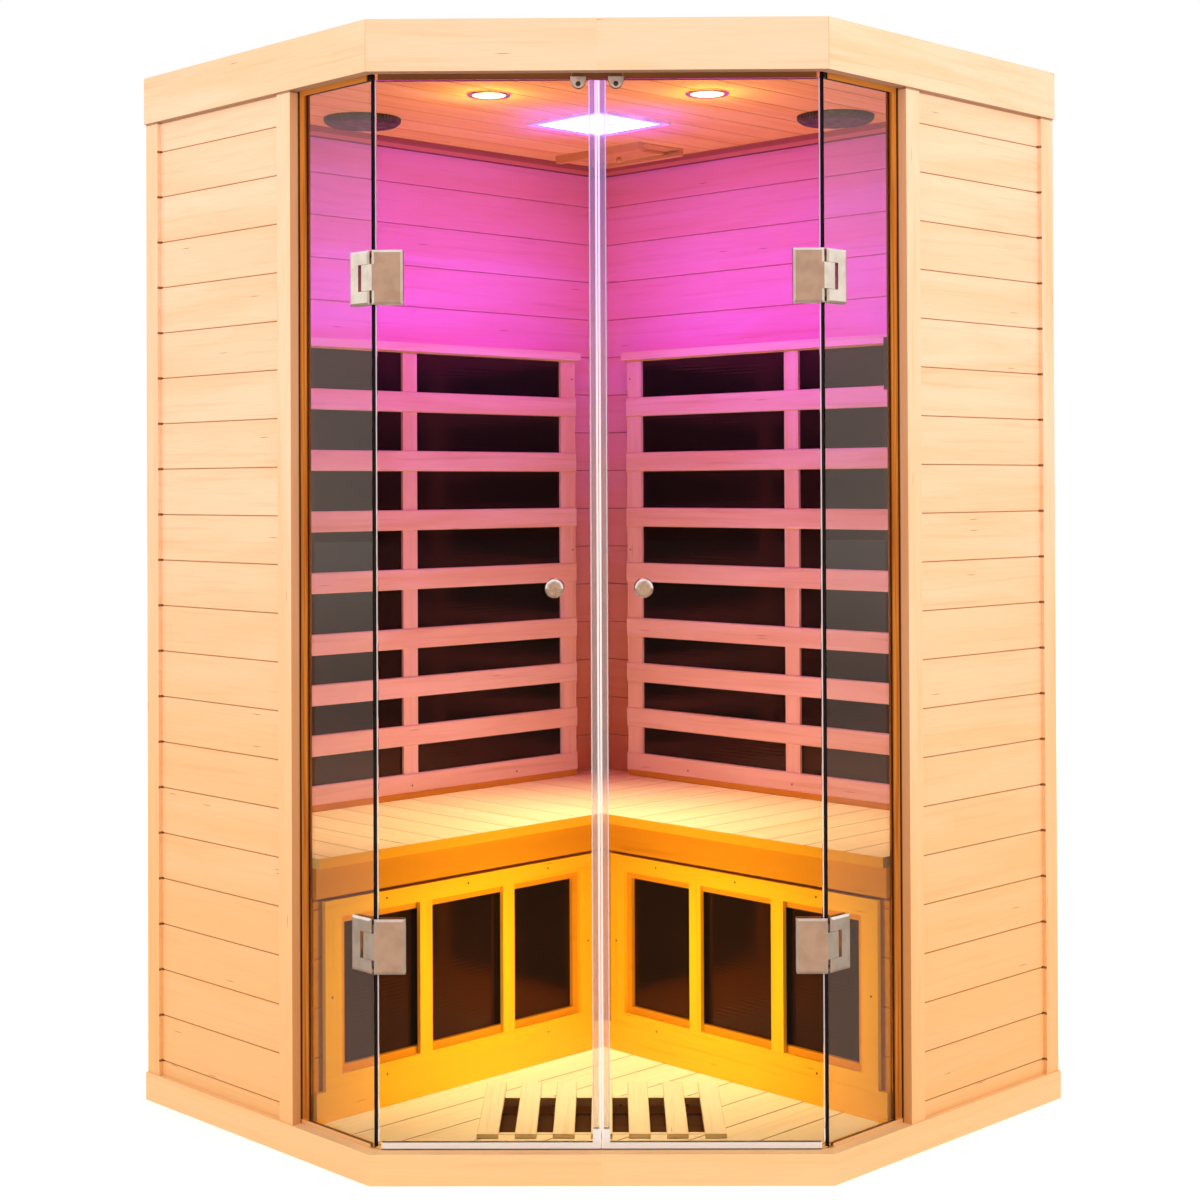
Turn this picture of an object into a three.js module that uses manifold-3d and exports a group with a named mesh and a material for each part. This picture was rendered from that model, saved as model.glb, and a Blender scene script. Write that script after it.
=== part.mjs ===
import * as THREE from "three";
import { mergeVertices } from "three/addons/utils/BufferGeometryUtils.js";
import Module from "manifold-3d";

// Corner infrared cabin: a square plan whose front corner is cut off by a pair of glass doors.
// Millimetres, +Z up, doors towards -Y, origin on the floor below the middle of the bounding box.

// Plan and height
const SIDE = 1200; // each back wall, measured over the plinth
const FRONT_WIDTH = 757; // flat front between the two bends
const HEIGHT = 1900;
const FIT = 0.3; // gap between pieces that touch

// Shell: plinth, walls and roof
const PLINTH_HEIGHT = 51;
const FASCIA_HEIGHT = 86;
const FASCIA_THICKNESS = 21;
const STILE_INSET = 3; // stiles stand this far inside the plinth line
const BOARD_INSET = 10; // wall boards stand this far inside the plinth line
const WALL_DEPTH = 48; // plinth line to the inside of the wall
const STILE_WIDTH = 38;
const BOARD_PITCH = 84;
const FIRST_JOINT = 27.7; // lowest wall joint above the plinth
const GROOVE_WIDTH = 3.4;
const GROOVE_DEPTH = 2;
const CEILING_DROP = 52; // roof top to the underside of the ceiling
const CEILING_THICKNESS = 12;
const CORNICE_HEIGHT = 20;
const CORNICE_THICKNESS = 12;
const ROOF_COVER_DROP = 4; // roof cover below the fascia's top edge
const ROOF_COVER_THICKNESS = 6;

// Floor with its foot heater
const DECK_THICKNESS = 18;
const DECK_FIRST_JOINT = 60; // first floor joint from the left back wall's outside
const PIT_WIDTH = 384;
const PIT_FROM = 103; // front plane to the pit's near edge
const PIT_LENGTH = 213;
const PIT_FLOOR = 12;
const FOOT_HEATER_THICKNESS = 8;
const FOOT_SLATS = 7;
const FOOT_SLAT_WIDTH = 36;
const FOOT_SLAT_PITCH = 63.4;
const FOOT_SLAT_THICKNESS = 8;
const FOOT_SLAT_LENGTH = 296;
const FOOT_SLAT_FROM = 81; // front plane to the slats' near ends
const FOOT_BATTEN_WIDTH = 8;
const FOOT_BATTEN_HEIGHT = 12;
const FOOT_BATTEN_MARGIN = 2; // pit edge to batten

// Glazing
const GLASS = 8;
const GLASS_INSET = 24; // plinth line to the outer face of the glass
const CORNER_GAP = 3.4; // bend to the edge of either pane
const STRIP_WIDTH = 211; // front bend to the end of the wall's front stile
const CHANNEL_WIDTH = 19;
const CHANNEL_WEB = 6;
const CHANNEL_INNER_FLANGE = 3.6;
const HEAD_CHANNEL_SHOWN = 9; // head channel below the fascia
const HEAD_CHANNEL_HEIGHT = 22;
const SILL_CHANNEL_HEIGHT = 7;
const SILL_CHANNEL_WEB = 3;
const DOOR_FOOT_GAP = 8;
const DOOR_HEAD_GAP = 9;
const MEETING_GAP = 5; // middle line to the edge of a door's glass
const SEAL_GAP = 0.6; // middle line to a seal's nose
const SEAL_LEG = 9;
const SEAL_WALL = 1.4;
const SWEEP_CLEARANCE = 1.5;
const SWEEP_LEG = 4;

// Glass hinges, each of a door leaf, a fixed leaf and a pin
const HINGE_LEVELS = { lower: 383, upper: 1480 };
const HINGE_HEIGHT = 90;
const HINGE_REACH = 10; // middle of the glass to the outer face of a plate
const HINGE_BEVEL = 4;
const DOOR_PLATE_WIDTH = 51;
const FIXED_PLATE_FROM = 4.5; // bend to the near edge of the fixed plate
const FIXED_PLATE_WIDTH = 51;
const HINGE_CORE_HEIGHT = 68;
const DOOR_CORE_END = 22;
const FIXED_CORE_END = 38;
const NOTCH_HEIGHT = 44.4;
const NOTCH_END = 31.7;
const TONGUE_END = 23.2;
const TONGUE_PLAY = 0.5;
const TONGUE_ROOT = 14;
const CUTOUT_PLAY = 2; // glass cut-out round a hinge core
const PIN_FROM_BEND = 13.5;
const PIN_RADIUS = 4;
const PIN_PLAY = 0.15;
const PIN_CHAMFER = 0.8;

// Door furniture
const KNOB_LEVEL = 969;
const KNOB_SETBACK = 73;
const KNOB_RADIUS = 15.5;
const KNOB_LENGTH = 24;
const KNOB_FOOT_RADIUS = 9;
const KNOB_NECK_RADIUS = 6.5;
const KNOB_SPINDLE_RADIUS = 4;
const KNOB_HOLE_RADIUS = 6;
const CLIP_WIDTH = 26;
const CLIP_SETBACK = 31; // middle line to the clip's centre
const CLIP_WALL = 2;
const CLIP_RISE = 3.4;
const CLIP_GRIP = 4;
const CLIP_LOBE_RADIUS = 11.5;
const CATCH_WIDTH = 84;
const CATCH_DEPTH = 12;
const CATCH_PLAY = 0.7;
const CATCH_DROP = 3; // below the top of the door glass
const CATCH_HEIGHT = 24;
const CATCH_GAP = 40; // between the two magnet blocks

// Bench with the heaters below it
const BENCH_HEIGHT = 504;
const SEAT_THICKNESS = 18;
const BENCH_OVERHANG = 38; // bench edge beyond the end of the side wall
const RAIL_SETBACK = 8;
const RAIL_THICKNESS = 22;
const RAIL_HEIGHT = 52;
const PANEL_SETBACK = 17;
const PANEL_THICKNESS = 8;
const FRAME_CORNER_GAP = 16; // bench edge to the frame's end in the corner
const FRAME_SIDE_GAP = 7; // inside of the side wall to the frame's other end
const FRAME_STILE = 35;
const FRAME_MULLION = 28;
const FRAME_FOOT = 104; // underside of the frame, top of the skirting
const FRAME_HEAD_GAP = 6; // rail to the frame
const FRAME_TOP_RAIL = 30.5;
const FRAME_FOOT_RAIL = 24;
const FRAME_PANES = 3;
const HEATER_LIP = 12;
const LOW_HEATER_THICKNESS = 8;
const LOW_HEATER_MARGIN = 10;

// Backrest grilles
const GRILLE_CORNER_GAP = 77; // front of the other grille to the grille's end in the corner
const GRILLE_SIDE_GAP = 54; // inside of the side wall to the grille's other end
const GRILLE_FRONT = 88; // wall's outside to the front of the slats
const GRILLE_SLAT_THICKNESS = 8.5;
const GRILLE_SLAT_HEIGHT = 41;
const GRILLE_SLAT_CHAMFER = 2;
const GRILLE_STILE = 43;
const GRILLE_MULLION = 37;
const UPRIGHT_SETBACK = 3.5; // uprights behind the front of the slats
const GRILLE_FOOT_GAP = 13; // bench to the grille
const LEDGE_THICKNESS = 17;
const LEDGE_OVERHANG = 10;
const GRILLE_HEAD = 3;
const TALL_WINDOW = 79;
const LOW_WINDOW = 57;
const TALL_ROWS = 5;
const LOW_ROWS = 3;
const GRILLE_FOOT_RAIL = 38;
const BACK_HEATER_DEPTH = 30; // wall to the front of the heater
const BACK_HEATER_SHEET = 6;
const BACK_HEATER_RIM = 12;

// Ceiling fittings
const LIGHT_PANEL = 200;
const LIGHT_PANEL_DROP = 6;
const LIGHT_PANEL_RIM = 11;
const LIGHT_PANEL_RECESS = 2;
const LIGHT_BODY = 170;
const LIGHT_BODY_HEIGHT = 24;
const SPOT_FROM_MIDDLE = 198;
const SPOT_SHARE = 0.28; // of the depth, from the front plane
const SPOT_RADIUS = 40;
const SPOT_LENS_RADIUS = 31;
const SPOT_BODY_RADIUS = 29;
const SPOT_DROP = 4;
const SPOT_RECESS = 1.5;
const SPOT_BODY_HEIGHT = 34;
const SPEAKER_FROM_SIDE = 378;
const SPEAKER_FROM_BACK = 178;
const SPEAKER_RADIUS = 73;
const SPEAKER_DROP = 13;
const SPEAKER_BASKET_RADIUS = 54;
const SPEAKER_MAGNET_RADIUS = 34;
const SPEAKER_BODY_HEIGHT = 34;
const VENT_PLACE = [181, 239]; // from the outsides of the left and right back walls
const VENT_WIDTH = 133;
const VENT_LENGTH = 252;
const VENT_RAIL = 16;
const VENT_PLATE = 3;
const VENT_DROP = 16;
const VENT_SLOT = 7;
const VENT_LIP = 6;
const VENT_SLIDE_THICKNESS = 6;
const VENT_SLIDE_LENGTH = 170;
const VENT_HOLE_WIDTH = 74;
const VENT_HOLE_LENGTH = 80;
const VENT_HOLE_OFFSET = -39; // hole's middle from the vent's middle, towards the corner
const VENT_PULL_RADIUS = 7;
const VENT_PULL_LENGTH = 12;

// Electrics
const POWER_BOX = [300, 170, 26];
const POWER_BOX_FROM = 120; // front plane to the box
const POWER_BOX_FLANGE = 14;
const POWER_BOX_FLANGE_THICKNESS = 2;
const CONTROL_PANEL = [150, 90, 14];
const CONTROL_PANEL_PLACE = [300, 1300];
const CONTROL_PANEL_BEVEL = 3;
const CONTROL_SCREEN_MARGIN = 14;
const CONTROL_SCREEN_DEPTH = 1.5;

// Worked-out sizes
const FACE = SIDE - FRONT_WIDTH / Math.SQRT2; // length of each slanted side
const DEPTH = FRONT_WIDTH / 2 + FACE * Math.SQRT2;
const BEND = Math.tan(Math.PI / 8); // half the bend between the front and a side
const FASCIA_FOOT = HEIGHT - FASCIA_HEIGHT;
const CEILING = HEIGHT - CEILING_DROP;
const CEILING_TOP = CEILING + CEILING_THICKNESS;
const ROOF_COVER_FOOT = HEIGHT - ROOF_COVER_DROP - ROOF_COVER_THICKNESS;
const RABBET = FASCIA_THICKNESS + FIT; // walls step back behind the fascia
const INSIDE = WALL_DEPTH + FIT;
const WALL_END = FACE - STRIP_WIDTH;
const BENCH_REACH = WALL_END + BENCH_OVERHANG;
const GLASS_MIDDLE = GLASS_INSET + GLASS / 2;
const GLASS_BACK = GLASS_INSET + GLASS;
const BEND_X = FRONT_WIDTH / 2 - GLASS_MIDDLE * BEND; // where the panes' middles cross
const CHANNEL_Y = [FASCIA_THICKNESS + FIT, GLASS_BACK + FIT + CHANNEL_INNER_FLANGE];
const BENCH_END = SIDE - CHANNEL_Y[1] - FIT; // bench fronts run on to the glass channel
const DOOR_FOOT = PLINTH_HEIGHT + DOOR_FOOT_GAP;
const DOOR_HEAD = FASCIA_FOOT - DOOR_HEAD_GAP;
const SEAT_FOOT = BENCH_HEIGHT - SEAT_THICKNESS;
const RAIL_FRONT = BENCH_REACH - RAIL_SETBACK;
const RAIL_FOOT = SEAT_FOOT - RAIL_HEIGHT;
const PANEL_FRONT = BENCH_REACH - PANEL_SETBACK;
const PANEL_BACK = PANEL_FRONT - PANEL_THICKNESS;
const FRAME_TOP = RAIL_FOOT - FRAME_HEAD_GAP;
const FRAME_FROM = BENCH_REACH + FRAME_CORNER_GAP;
const FRAME_END = SIDE - WALL_DEPTH - FRAME_SIDE_GAP;
const GRILLE_FROM = GRILLE_FRONT + GRILLE_CORNER_GAP;
const GRILLE_END = SIDE - WALL_DEPTH - GRILLE_SIDE_GAP;
const SLAT_BACK = GRILLE_FRONT - GRILLE_SLAT_THICKNESS;
const BACK_HEATER_FRONT = INSIDE + BACK_HEATER_DEPTH;
const LIGHT_PLACE = (DEPTH / 2) * Math.SQRT1_2; // the light sits over the middle of the plan
const SPOT_FROM_FRONT = DEPTH * SPOT_SHARE;
const SPEAKER_PLACE = [SIDE - SPEAKER_FROM_SIDE, SPEAKER_FROM_BACK];
const FINE = 32; // sides of a turned piece
const COARSE = 20; // sides of a small bore or pin

const wasm = await Module();
wasm.setup();

// Closed meshes become solids to be joined or cut, and come back as meshes.
function solid(geometry) {
  const bare = geometry.clone();
  bare.deleteAttribute("normal");
  bare.deleteAttribute("uv");
  const merged = mergeVertices(bare, 1e-4);
  const corners = Array.from(merged.index.array);
  const kept = [];
  for (let i = 0; i < corners.length; i += 3) {
    const [a, b, c] = corners.slice(i, i + 3);
    if (a !== b && b !== c && c !== a) kept.push(a, b, c);
  }
  const mesh = new wasm.Mesh({
    numProp: 3,
    vertProperties: Float32Array.from(merged.attributes.position.array),
    triVerts: Uint32Array.from(kept),
  });
  return new wasm.Manifold(mesh);
}

function geometryOf(body) {
  const mesh = body.getMesh();
  const geometry = new THREE.BufferGeometry();
  geometry.setAttribute("position", new THREE.BufferAttribute(mesh.vertProperties, 3));
  geometry.setIndex(new THREE.BufferAttribute(mesh.triVerts, 1));
  geometry.computeVertexNormals();
  return geometry;
}

function join(...geometries) {
  return geometryOf(geometries.map(solid).reduce((all, next) => all.add(next)));
}

function cut(geometry, ...tools) {
  return geometryOf(tools.map(solid).reduce((left, tool) => left.subtract(tool), solid(geometry)));
}

function common(geometry, other) {
  return geometryOf(solid(geometry).intersect(solid(other)));
}

// Basic shapes. A range is a pair [from, to].
function middle([from, to]) {
  return (from + to) / 2;
}

function length([from, to]) {
  return to - from;
}

// A unit cube stretched over three ranges in one step, so that its faces land exactly on them.
function box(x, y, z) {
  const place = new THREE.Matrix4().makeScale(length(x), length(y), length(z));
  place.setPosition(x[0], y[0], z[0]);
  return new THREE.BoxGeometry(1, 1, 1).translate(0.5, 0.5, 0.5).applyMatrix4(place);
}

function shapeOf(points) {
  return new THREE.Shape(points.map(([x, y]) => new THREE.Vector2(x, y)));
}

// A shape raised by one unit, to be stretched along its run.
function extrude(shape) {
  return new THREE.ExtrudeGeometry(shape, { depth: 1, bevelEnabled: false, curveSegments: COARSE / 2 });
}

// A plan outline raised over a range of heights.
function upright(points, z) {
  const place = new THREE.Matrix4().makeScale(1, 1, length(z)).setPosition(0, 0, z[0]);
  return extrude(shapeOf(points)).applyMatrix4(place);
}

// A section drawn in Y and Z, run along X.
function alongX(section, x) {
  const turn = new THREE.Matrix4().set(0, 0, length(x), x[0], 1, 0, 0, 0, 0, 1, 0, 0, 0, 0, 0, 1);
  return extrude(shapeOf(section)).applyMatrix4(turn);
}

// A section drawn in X and Z, run along Y.
function shapeAlongY(shape, y) {
  const turn = new THREE.Matrix4().set(1, 0, 0, 0, 0, 0, -length(y), y[1], 0, 1, 0, 0, 0, 0, 0, 1);
  return extrude(shape).applyMatrix4(turn);
}

function alongY(section, y) {
  return shapeAlongY(shapeOf(section), y);
}

// A plate facing along Y whose edges are all bevelled.
function bevelledPlate(x, y, z, bevel) {
  const outline = shapeOf([
    [x[0] + bevel, z[0] + bevel],
    [x[1] - bevel, z[0] + bevel],
    [x[1] - bevel, z[1] - bevel],
    [x[0] + bevel, z[1] - bevel],
  ]);
  const plate = new THREE.ExtrudeGeometry(outline, {
    depth: length(y) - bevel,
    bevelThickness: bevel / 2,
    bevelSize: bevel,
    bevelSegments: 1,
  });
  return plate.rotateX(Math.PI / 2).translate(0, y[1] - bevel / 2, 0);
}

// A profile of [radius, height] pairs turned round an upright axis.
function turned(profile, sides = FINE) {
  const points = profile.map(([radius, height]) => new THREE.Vector2(radius, height));
  return new THREE.LatheGeometry(points, sides).rotateX(Math.PI / 2);
}

function rod(radius, z, sides = COARSE) {
  const geometry = new THREE.CylinderGeometry(radius, radius, length(z), sides);
  return geometry.rotateX(Math.PI / 2).translate(0, 0, middle(z));
}

function grown([from, to], by) {
  return [from - by, to + by];
}

// The cabin's outline drawn in by a distance, from the back corner round to the left and the front.
function outline(inset) {
  const bend = FACE - inset * BEND;
  const far = SIDE - inset;
  return [
    [inset, inset],
    [far, inset],
    [far, bend],
    [bend, far],
    [inset, far],
  ];
}

// Joints of a run of boards that lie inside a range.
function joints([from, to], first) {
  const places = [];
  for (let place = first; place < to - GROOVE_WIDTH; place += BOARD_PITCH) {
    if (place > from + GROOVE_WIDTH) places.push(place);
  }
  return places;
}

// Three points of a V-groove at each place, cut into a face by a signed depth.
function grooves(places, level, depth) {
  const half = GROOVE_WIDTH / 2;
  return places.flatMap((place) => [
    [place - half, level],
    [place, level + depth],
    [place + half, level],
  ]);
}

function swapped(points) {
  return points.map(([a, b]) => [b, a]);
}

// Frames. A wing runs along a back wall, a side along the slanted face, a front along the doors.
const cabin = new THREE.Group();

function makeHalf(mirror) {
  const half = new THREE.Group();
  half.scale.x = mirror;
  const wing = new THREE.Group();
  wing.rotation.z = 1.25 * Math.PI;
  wing.position.y = DEPTH / 2;
  const side = new THREE.Group();
  side.rotation.z = Math.PI / 2;
  side.position.x = SIDE;
  const front = new THREE.Group();
  front.position.y = -DEPTH / 2;
  wing.add(side);
  half.add(wing, front);
  cabin.add(half);
  return { wing, side, front };
}

// A shape drawn in the front frame, moved into the left wing's frame.
function frontInWing(geometry) {
  const wing = new THREE.Matrix4().makeRotationZ(1.25 * Math.PI).setPosition(0, DEPTH / 2, 0);
  const front = new THREE.Matrix4().makeTranslation(0, -DEPTH / 2, 0);
  return geometry.applyMatrix4(wing.invert().multiply(front));
}

function finish(color, roughness, metalness = 0) {
  return new THREE.MeshStandardMaterial({ color, roughness, metalness });
}

function clear(color, roughness, opacity) {
  return new THREE.MeshStandardMaterial({ color, roughness, transparent: true, opacity });
}

const PALE_WOOD = finish(0xf6d3a4, 0.6);
const INNER_WOOD = finish(0xeec08a, 0.62);
const BROWN_CHANNEL = finish(0x9a5a22, 0.55);
const CLEAR_GLASS = clear(0xdfeceb, 0.03, 0.18);
const CLEAR_SEAL = clear(0xf1eef4, 0.25, 0.55);
const SATIN_NICKEL = finish(0xc9b39b, 0.32, 1);
const STEEL = finish(0x8f8c88, 0.3, 1);
const CHROME = finish(0xe2e2e4, 0.08, 1);
const HEATER_BLACK = finish(0x1d1512, 0.25);
const LIGHT_WHITE = finish(0xf3ecff, 0.35);
const SPEAKER_GREY = finish(0x3a3638, 0.6);
const BOX_STEEL = finish(0xb9bcc0, 0.4, 0.9);
const DARK_PLASTIC = finish(0x2b2826, 0.45);

function piece(group, name, geometry, material) {
  const mesh = new THREE.Mesh(geometry, material.clone());
  mesh.name = name;
  group.add(mesh);
  return mesh;
}

// Walls: boards between upright stiles, stepped back at the top to pass behind the fascia.
const WALL_JOINTS = joints([PLINTH_HEIGHT, FASCIA_FOOT], PLINTH_HEIGHT + FIRST_JOINT);

function boardSection() {
  const outer = swapped(grooves(WALL_JOINTS, BOARD_INSET, GROOVE_DEPTH));
  const inner = swapped(grooves(WALL_JOINTS, WALL_DEPTH, -GROOVE_DEPTH)).reverse();
  return [
    [BOARD_INSET, PLINTH_HEIGHT],
    ...outer,
    [BOARD_INSET, FASCIA_FOOT],
    [RABBET, FASCIA_FOOT],
    [RABBET, CEILING],
    [WALL_DEPTH, CEILING],
    ...inner,
    [WALL_DEPTH, PLINTH_HEIGHT],
  ];
}

function stileSection() {
  return [
    [STILE_INSET, PLINTH_HEIGHT],
    [STILE_INSET, FASCIA_FOOT],
    [RABBET, FASCIA_FOOT],
    [RABBET, CEILING],
    [WALL_DEPTH, CEILING],
    [WALL_DEPTH, PLINTH_HEIGHT],
  ];
}

function sideWall() {
  const rear = [STILE_INSET, STILE_INSET + STILE_WIDTH];
  const near = [WALL_END - STILE_WIDTH, WALL_END];
  const rabbet = box([0, RABBET], [0, WALL_DEPTH], [FASCIA_FOOT, HEIGHT]);
  const panel = join(
    alongX(boardSection(), [middle(rear), middle(near)]),
    alongX(stileSection(), rear),
    alongX(stileSection(), near),
  );
  return cut(panel, rabbet);
}

// The left back wall carries the corner post, and the right one meets it.
function backWall(hasPost) {
  const far = SIDE - WALL_DEPTH - FIT;
  const from = hasPost ? RABBET : INSIDE;
  const corniceFrom = hasPost ? INSIDE : INSIDE + CORNICE_THICKNESS;
  const cornice = [
    [RABBET, CEILING - CORNICE_HEIGHT],
    [RABBET, CEILING],
    [WALL_DEPTH + CORNICE_THICKNESS, CEILING],
    [WALL_DEPTH + CORNICE_THICKNESS / 2, CEILING - CORNICE_HEIGHT],
  ];
  const panel = join(alongX(boardSection(), [from, far]), alongX(cornice, [corniceFrom, far]));
  if (!hasPost) return panel;
  const post = alongX(stileSection(), [STILE_INSET, WALL_DEPTH]);
  const rabbet = box([0, RABBET], [0, WALL_DEPTH], [FASCIA_FOOT, HEIGHT]);
  return join(panel, cut(post, rabbet));
}

// Base platform, with a pocket for the floor deck and a pit for the foot heater.
const PIT_X = [-PIT_WIDTH / 2, PIT_WIDTH / 2];
const PIT_Y = [PIT_FROM, PIT_FROM + PIT_LENGTH];

function basePlatform() {
  const block = upright(outline(0), [0, PLINTH_HEIGHT]);
  const pocket = upright(outline(WALL_DEPTH), [PLINTH_HEIGHT - DECK_THICKNESS, HEIGHT]);
  const pit = frontInWing(box(PIT_X, PIT_Y, [PIT_FLOOR, PLINTH_HEIGHT]));
  return cut(block, pocket, pit);
}

function floorDeck() {
  const foot = PLINTH_HEIGHT - DECK_THICKNESS;
  const lines = grooves(joints([INSIDE, SIDE - INSIDE], DECK_FIRST_JOINT), PLINTH_HEIGHT, -GROOVE_DEPTH);
  const section = [[0, foot], [SIDE, foot], [SIDE, PLINTH_HEIGHT], ...lines.reverse(), [0, PLINTH_HEIGHT]];
  const boards = common(alongX(section, [0, SIDE]), upright(outline(INSIDE), [0, PLINTH_HEIGHT]));
  return cut(boards, frontInWing(box(PIT_X, PIT_Y, [0, HEIGHT])));
}

function footGrille() {
  const y = [FOOT_SLAT_FROM, FOOT_SLAT_FROM + FOOT_SLAT_LENGTH];
  const top = PLINTH_HEIGHT + FOOT_SLAT_THICKNESS;
  const chamfer = FOOT_SLAT_THICKNESS / 5;
  const half = FOOT_SLAT_WIDTH / 2;
  const section = [
    [-half, PLINTH_HEIGHT],
    [half, PLINTH_HEIGHT],
    [half, top - chamfer],
    [half - chamfer, top],
    [chamfer - half, top],
    [-half, top - chamfer],
  ];
  const pieces = [];
  for (let i = 0; i < FOOT_SLATS; i += 1) {
    const place = (i - (FOOT_SLATS - 1) / 2) * FOOT_SLAT_PITCH;
    pieces.push(alongY(section, y).translate(place, 0, 0));
  }
  const battens = [PIT_Y[0] + FOOT_BATTEN_MARGIN, PIT_Y[1] - FOOT_BATTEN_MARGIN - FOOT_BATTEN_WIDTH];
  battens.forEach((from) => {
    const z = [PLINTH_HEIGHT - FOOT_BATTEN_HEIGHT, PLINTH_HEIGHT + FIT];
    pieces.push(box(grown(PIT_X, -FIT), [from, from + FOOT_BATTEN_WIDTH], z));
  });
  return join(...pieces);
}

function footHeater() {
  return box(grown(PIT_X, -FIT), grown(PIT_Y, -FIT), [PIT_FLOOR, PIT_FLOOR + FOOT_HEATER_THICKNESS]);
}

// Roof: mitred fascia boards round a boarded ceiling, with a flat cover above it.
function fasciaBoard(first, second) {
  const outer = outline(0);
  const inner = outline(FASCIA_THICKNESS);
  const along = new THREE.Vector2(...outer[second]).sub(new THREE.Vector2(...outer[first])).normalize();
  const shift = ([x, y], by) => [x + along.x * by, y + along.y * by];
  const corners = [
    shift(outer[first], FIT),
    shift(outer[second], -FIT),
    shift(inner[second], -FIT),
    shift(inner[first], FIT),
  ];
  return upright(corners, [FASCIA_FOOT, HEIGHT]);
}

function backFascia() {
  const t = FASCIA_THICKNESS;
  const end = SIDE - FIT;
  const corners = [[0, 0], [end, 0], [end - t, t], [t, t], [t, end - t], [0, end]];
  return upright(corners, [FASCIA_FOOT, HEIGHT]);
}

function ceilingPanel() {
  const lines = grooves(joints([RABBET, SIDE - RABBET], DECK_FIRST_JOINT), CEILING, GROOVE_DEPTH);
  const section = [[0, CEILING], ...lines, [SIDE, CEILING], [SIDE, CEILING_TOP], [0, CEILING_TOP]];
  const boards = common(alongX(section, [0, SIDE]), upright(outline(RABBET), [0, HEIGHT]));
  const through = [CEILING - GROOVE_DEPTH, CEILING_TOP + GROOVE_DEPTH];
  const holes = [lightHole(through), ventHole(through)];
  [-SPOT_FROM_MIDDLE, SPOT_FROM_MIDDLE].forEach((x) => {
    const hole = rod(SPOT_BODY_RADIUS + FIT, through, FINE).translate(x, SPOT_FROM_FRONT, 0);
    holes.push(frontInWing(hole));
  });
  [SPEAKER_PLACE, [SPEAKER_PLACE[1], SPEAKER_PLACE[0]]].forEach(([x, y]) => {
    holes.push(rod(SPEAKER_BASKET_RADIUS + FIT, through, FINE).translate(x, y, 0));
  });
  return cut(boards, ...holes);
}

function roofCover() {
  return upright(outline(RABBET), [ROOF_COVER_FOOT, ROOF_COVER_FOOT + ROOF_COVER_THICKNESS]);
}

// Ceiling fittings
function lightHole(z) {
  const half = LIGHT_BODY / 2 + FIT;
  const range = [LIGHT_PLACE - half, LIGHT_PLACE + half];
  return box(range, range, z);
}

function lightPanel() {
  const rim = LIGHT_PANEL / 2;
  const lit = rim - LIGHT_PANEL_RIM;
  const body = LIGHT_BODY / 2;
  const foot = CEILING - LIGHT_PANEL_DROP;
  const flange = box([-rim, rim], [-rim, rim], [foot, CEILING]);
  const recess = box([-lit, lit], [-lit, lit], [foot - LIGHT_PANEL_RECESS, foot + LIGHT_PANEL_RECESS]);
  const housing = box([-body, body], [-body, body], [middle([foot, CEILING]), CEILING + LIGHT_BODY_HEIGHT]);
  return cut(join(flange, housing), recess).translate(LIGHT_PLACE, LIGHT_PLACE, 0);
}

function spotlight() {
  const foot = CEILING - SPOT_DROP;
  const profile = [
    [0, foot + SPOT_RECESS],
    [SPOT_LENS_RADIUS, foot + SPOT_RECESS],
    [SPOT_LENS_RADIUS + SPOT_RECESS, foot],
    [SPOT_RADIUS - SPOT_RECESS, foot],
    [SPOT_RADIUS, foot + SPOT_RECESS],
    [SPOT_RADIUS, CEILING],
    [SPOT_BODY_RADIUS, CEILING],
    [SPOT_BODY_RADIUS, CEILING + SPOT_BODY_HEIGHT],
    [0, CEILING + SPOT_BODY_HEIGHT],
  ];
  return turned(profile).translate(-SPOT_FROM_MIDDLE, SPOT_FROM_FRONT, 0);
}

function speaker() {
  const foot = CEILING - SPEAKER_DROP;
  const edge = SPEAKER_DROP / 3;
  const top = CEILING + SPEAKER_BODY_HEIGHT;
  const profile = [
    [0, foot],
    [SPEAKER_RADIUS - 2 * edge, foot],
    [SPEAKER_RADIUS - edge / 2, foot + edge],
    [SPEAKER_RADIUS, foot + 2 * edge],
    [SPEAKER_RADIUS, CEILING],
    [SPEAKER_BASKET_RADIUS, CEILING],
    [SPEAKER_BASKET_RADIUS, CEILING + CEILING_THICKNESS],
    [SPEAKER_MAGNET_RADIUS, middle([CEILING_TOP, top])],
    [SPEAKER_MAGNET_RADIUS, top],
    [0, top],
  ];
  return turned(profile).translate(...SPEAKER_PLACE, 0);
}

function ventHole(z) {
  const [x, y] = VENT_PLACE;
  const half = VENT_HOLE_WIDTH / 2;
  const from = y + VENT_HOLE_OFFSET - VENT_HOLE_LENGTH / 2;
  return box([x - half, x + half], [from, from + VENT_HOLE_LENGTH], z);
}

const VENT_SLOT_TOP = CEILING - VENT_PLATE;
const VENT_SLOT_FOOT = VENT_SLOT_TOP - VENT_SLOT;

function ventFrame() {
  const [x, y] = VENT_PLACE;
  const run = [y - VENT_LENGTH / 2, y + VENT_LENGTH / 2];
  const half = VENT_WIDTH / 2;
  const lip = half - VENT_RAIL + VENT_LIP;
  const foot = CEILING - VENT_DROP;
  const plate = box([x - half, x + half], run, [VENT_SLOT_TOP, CEILING]);
  const rail = [
    [lip, CEILING],
    [lip, VENT_SLOT_FOOT],
    [half - VENT_RAIL, VENT_SLOT_FOOT],
    [half - VENT_RAIL, foot],
    [half, foot],
    [half, CEILING],
  ];
  const far = alongY(rail.map(([across, z]) => [x + across, z]), run);
  const near = alongY(rail.map(([across, z]) => [x - across, z]), run);
  return cut(join(plate, far, near), ventHole([foot, HEIGHT]));
}

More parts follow.
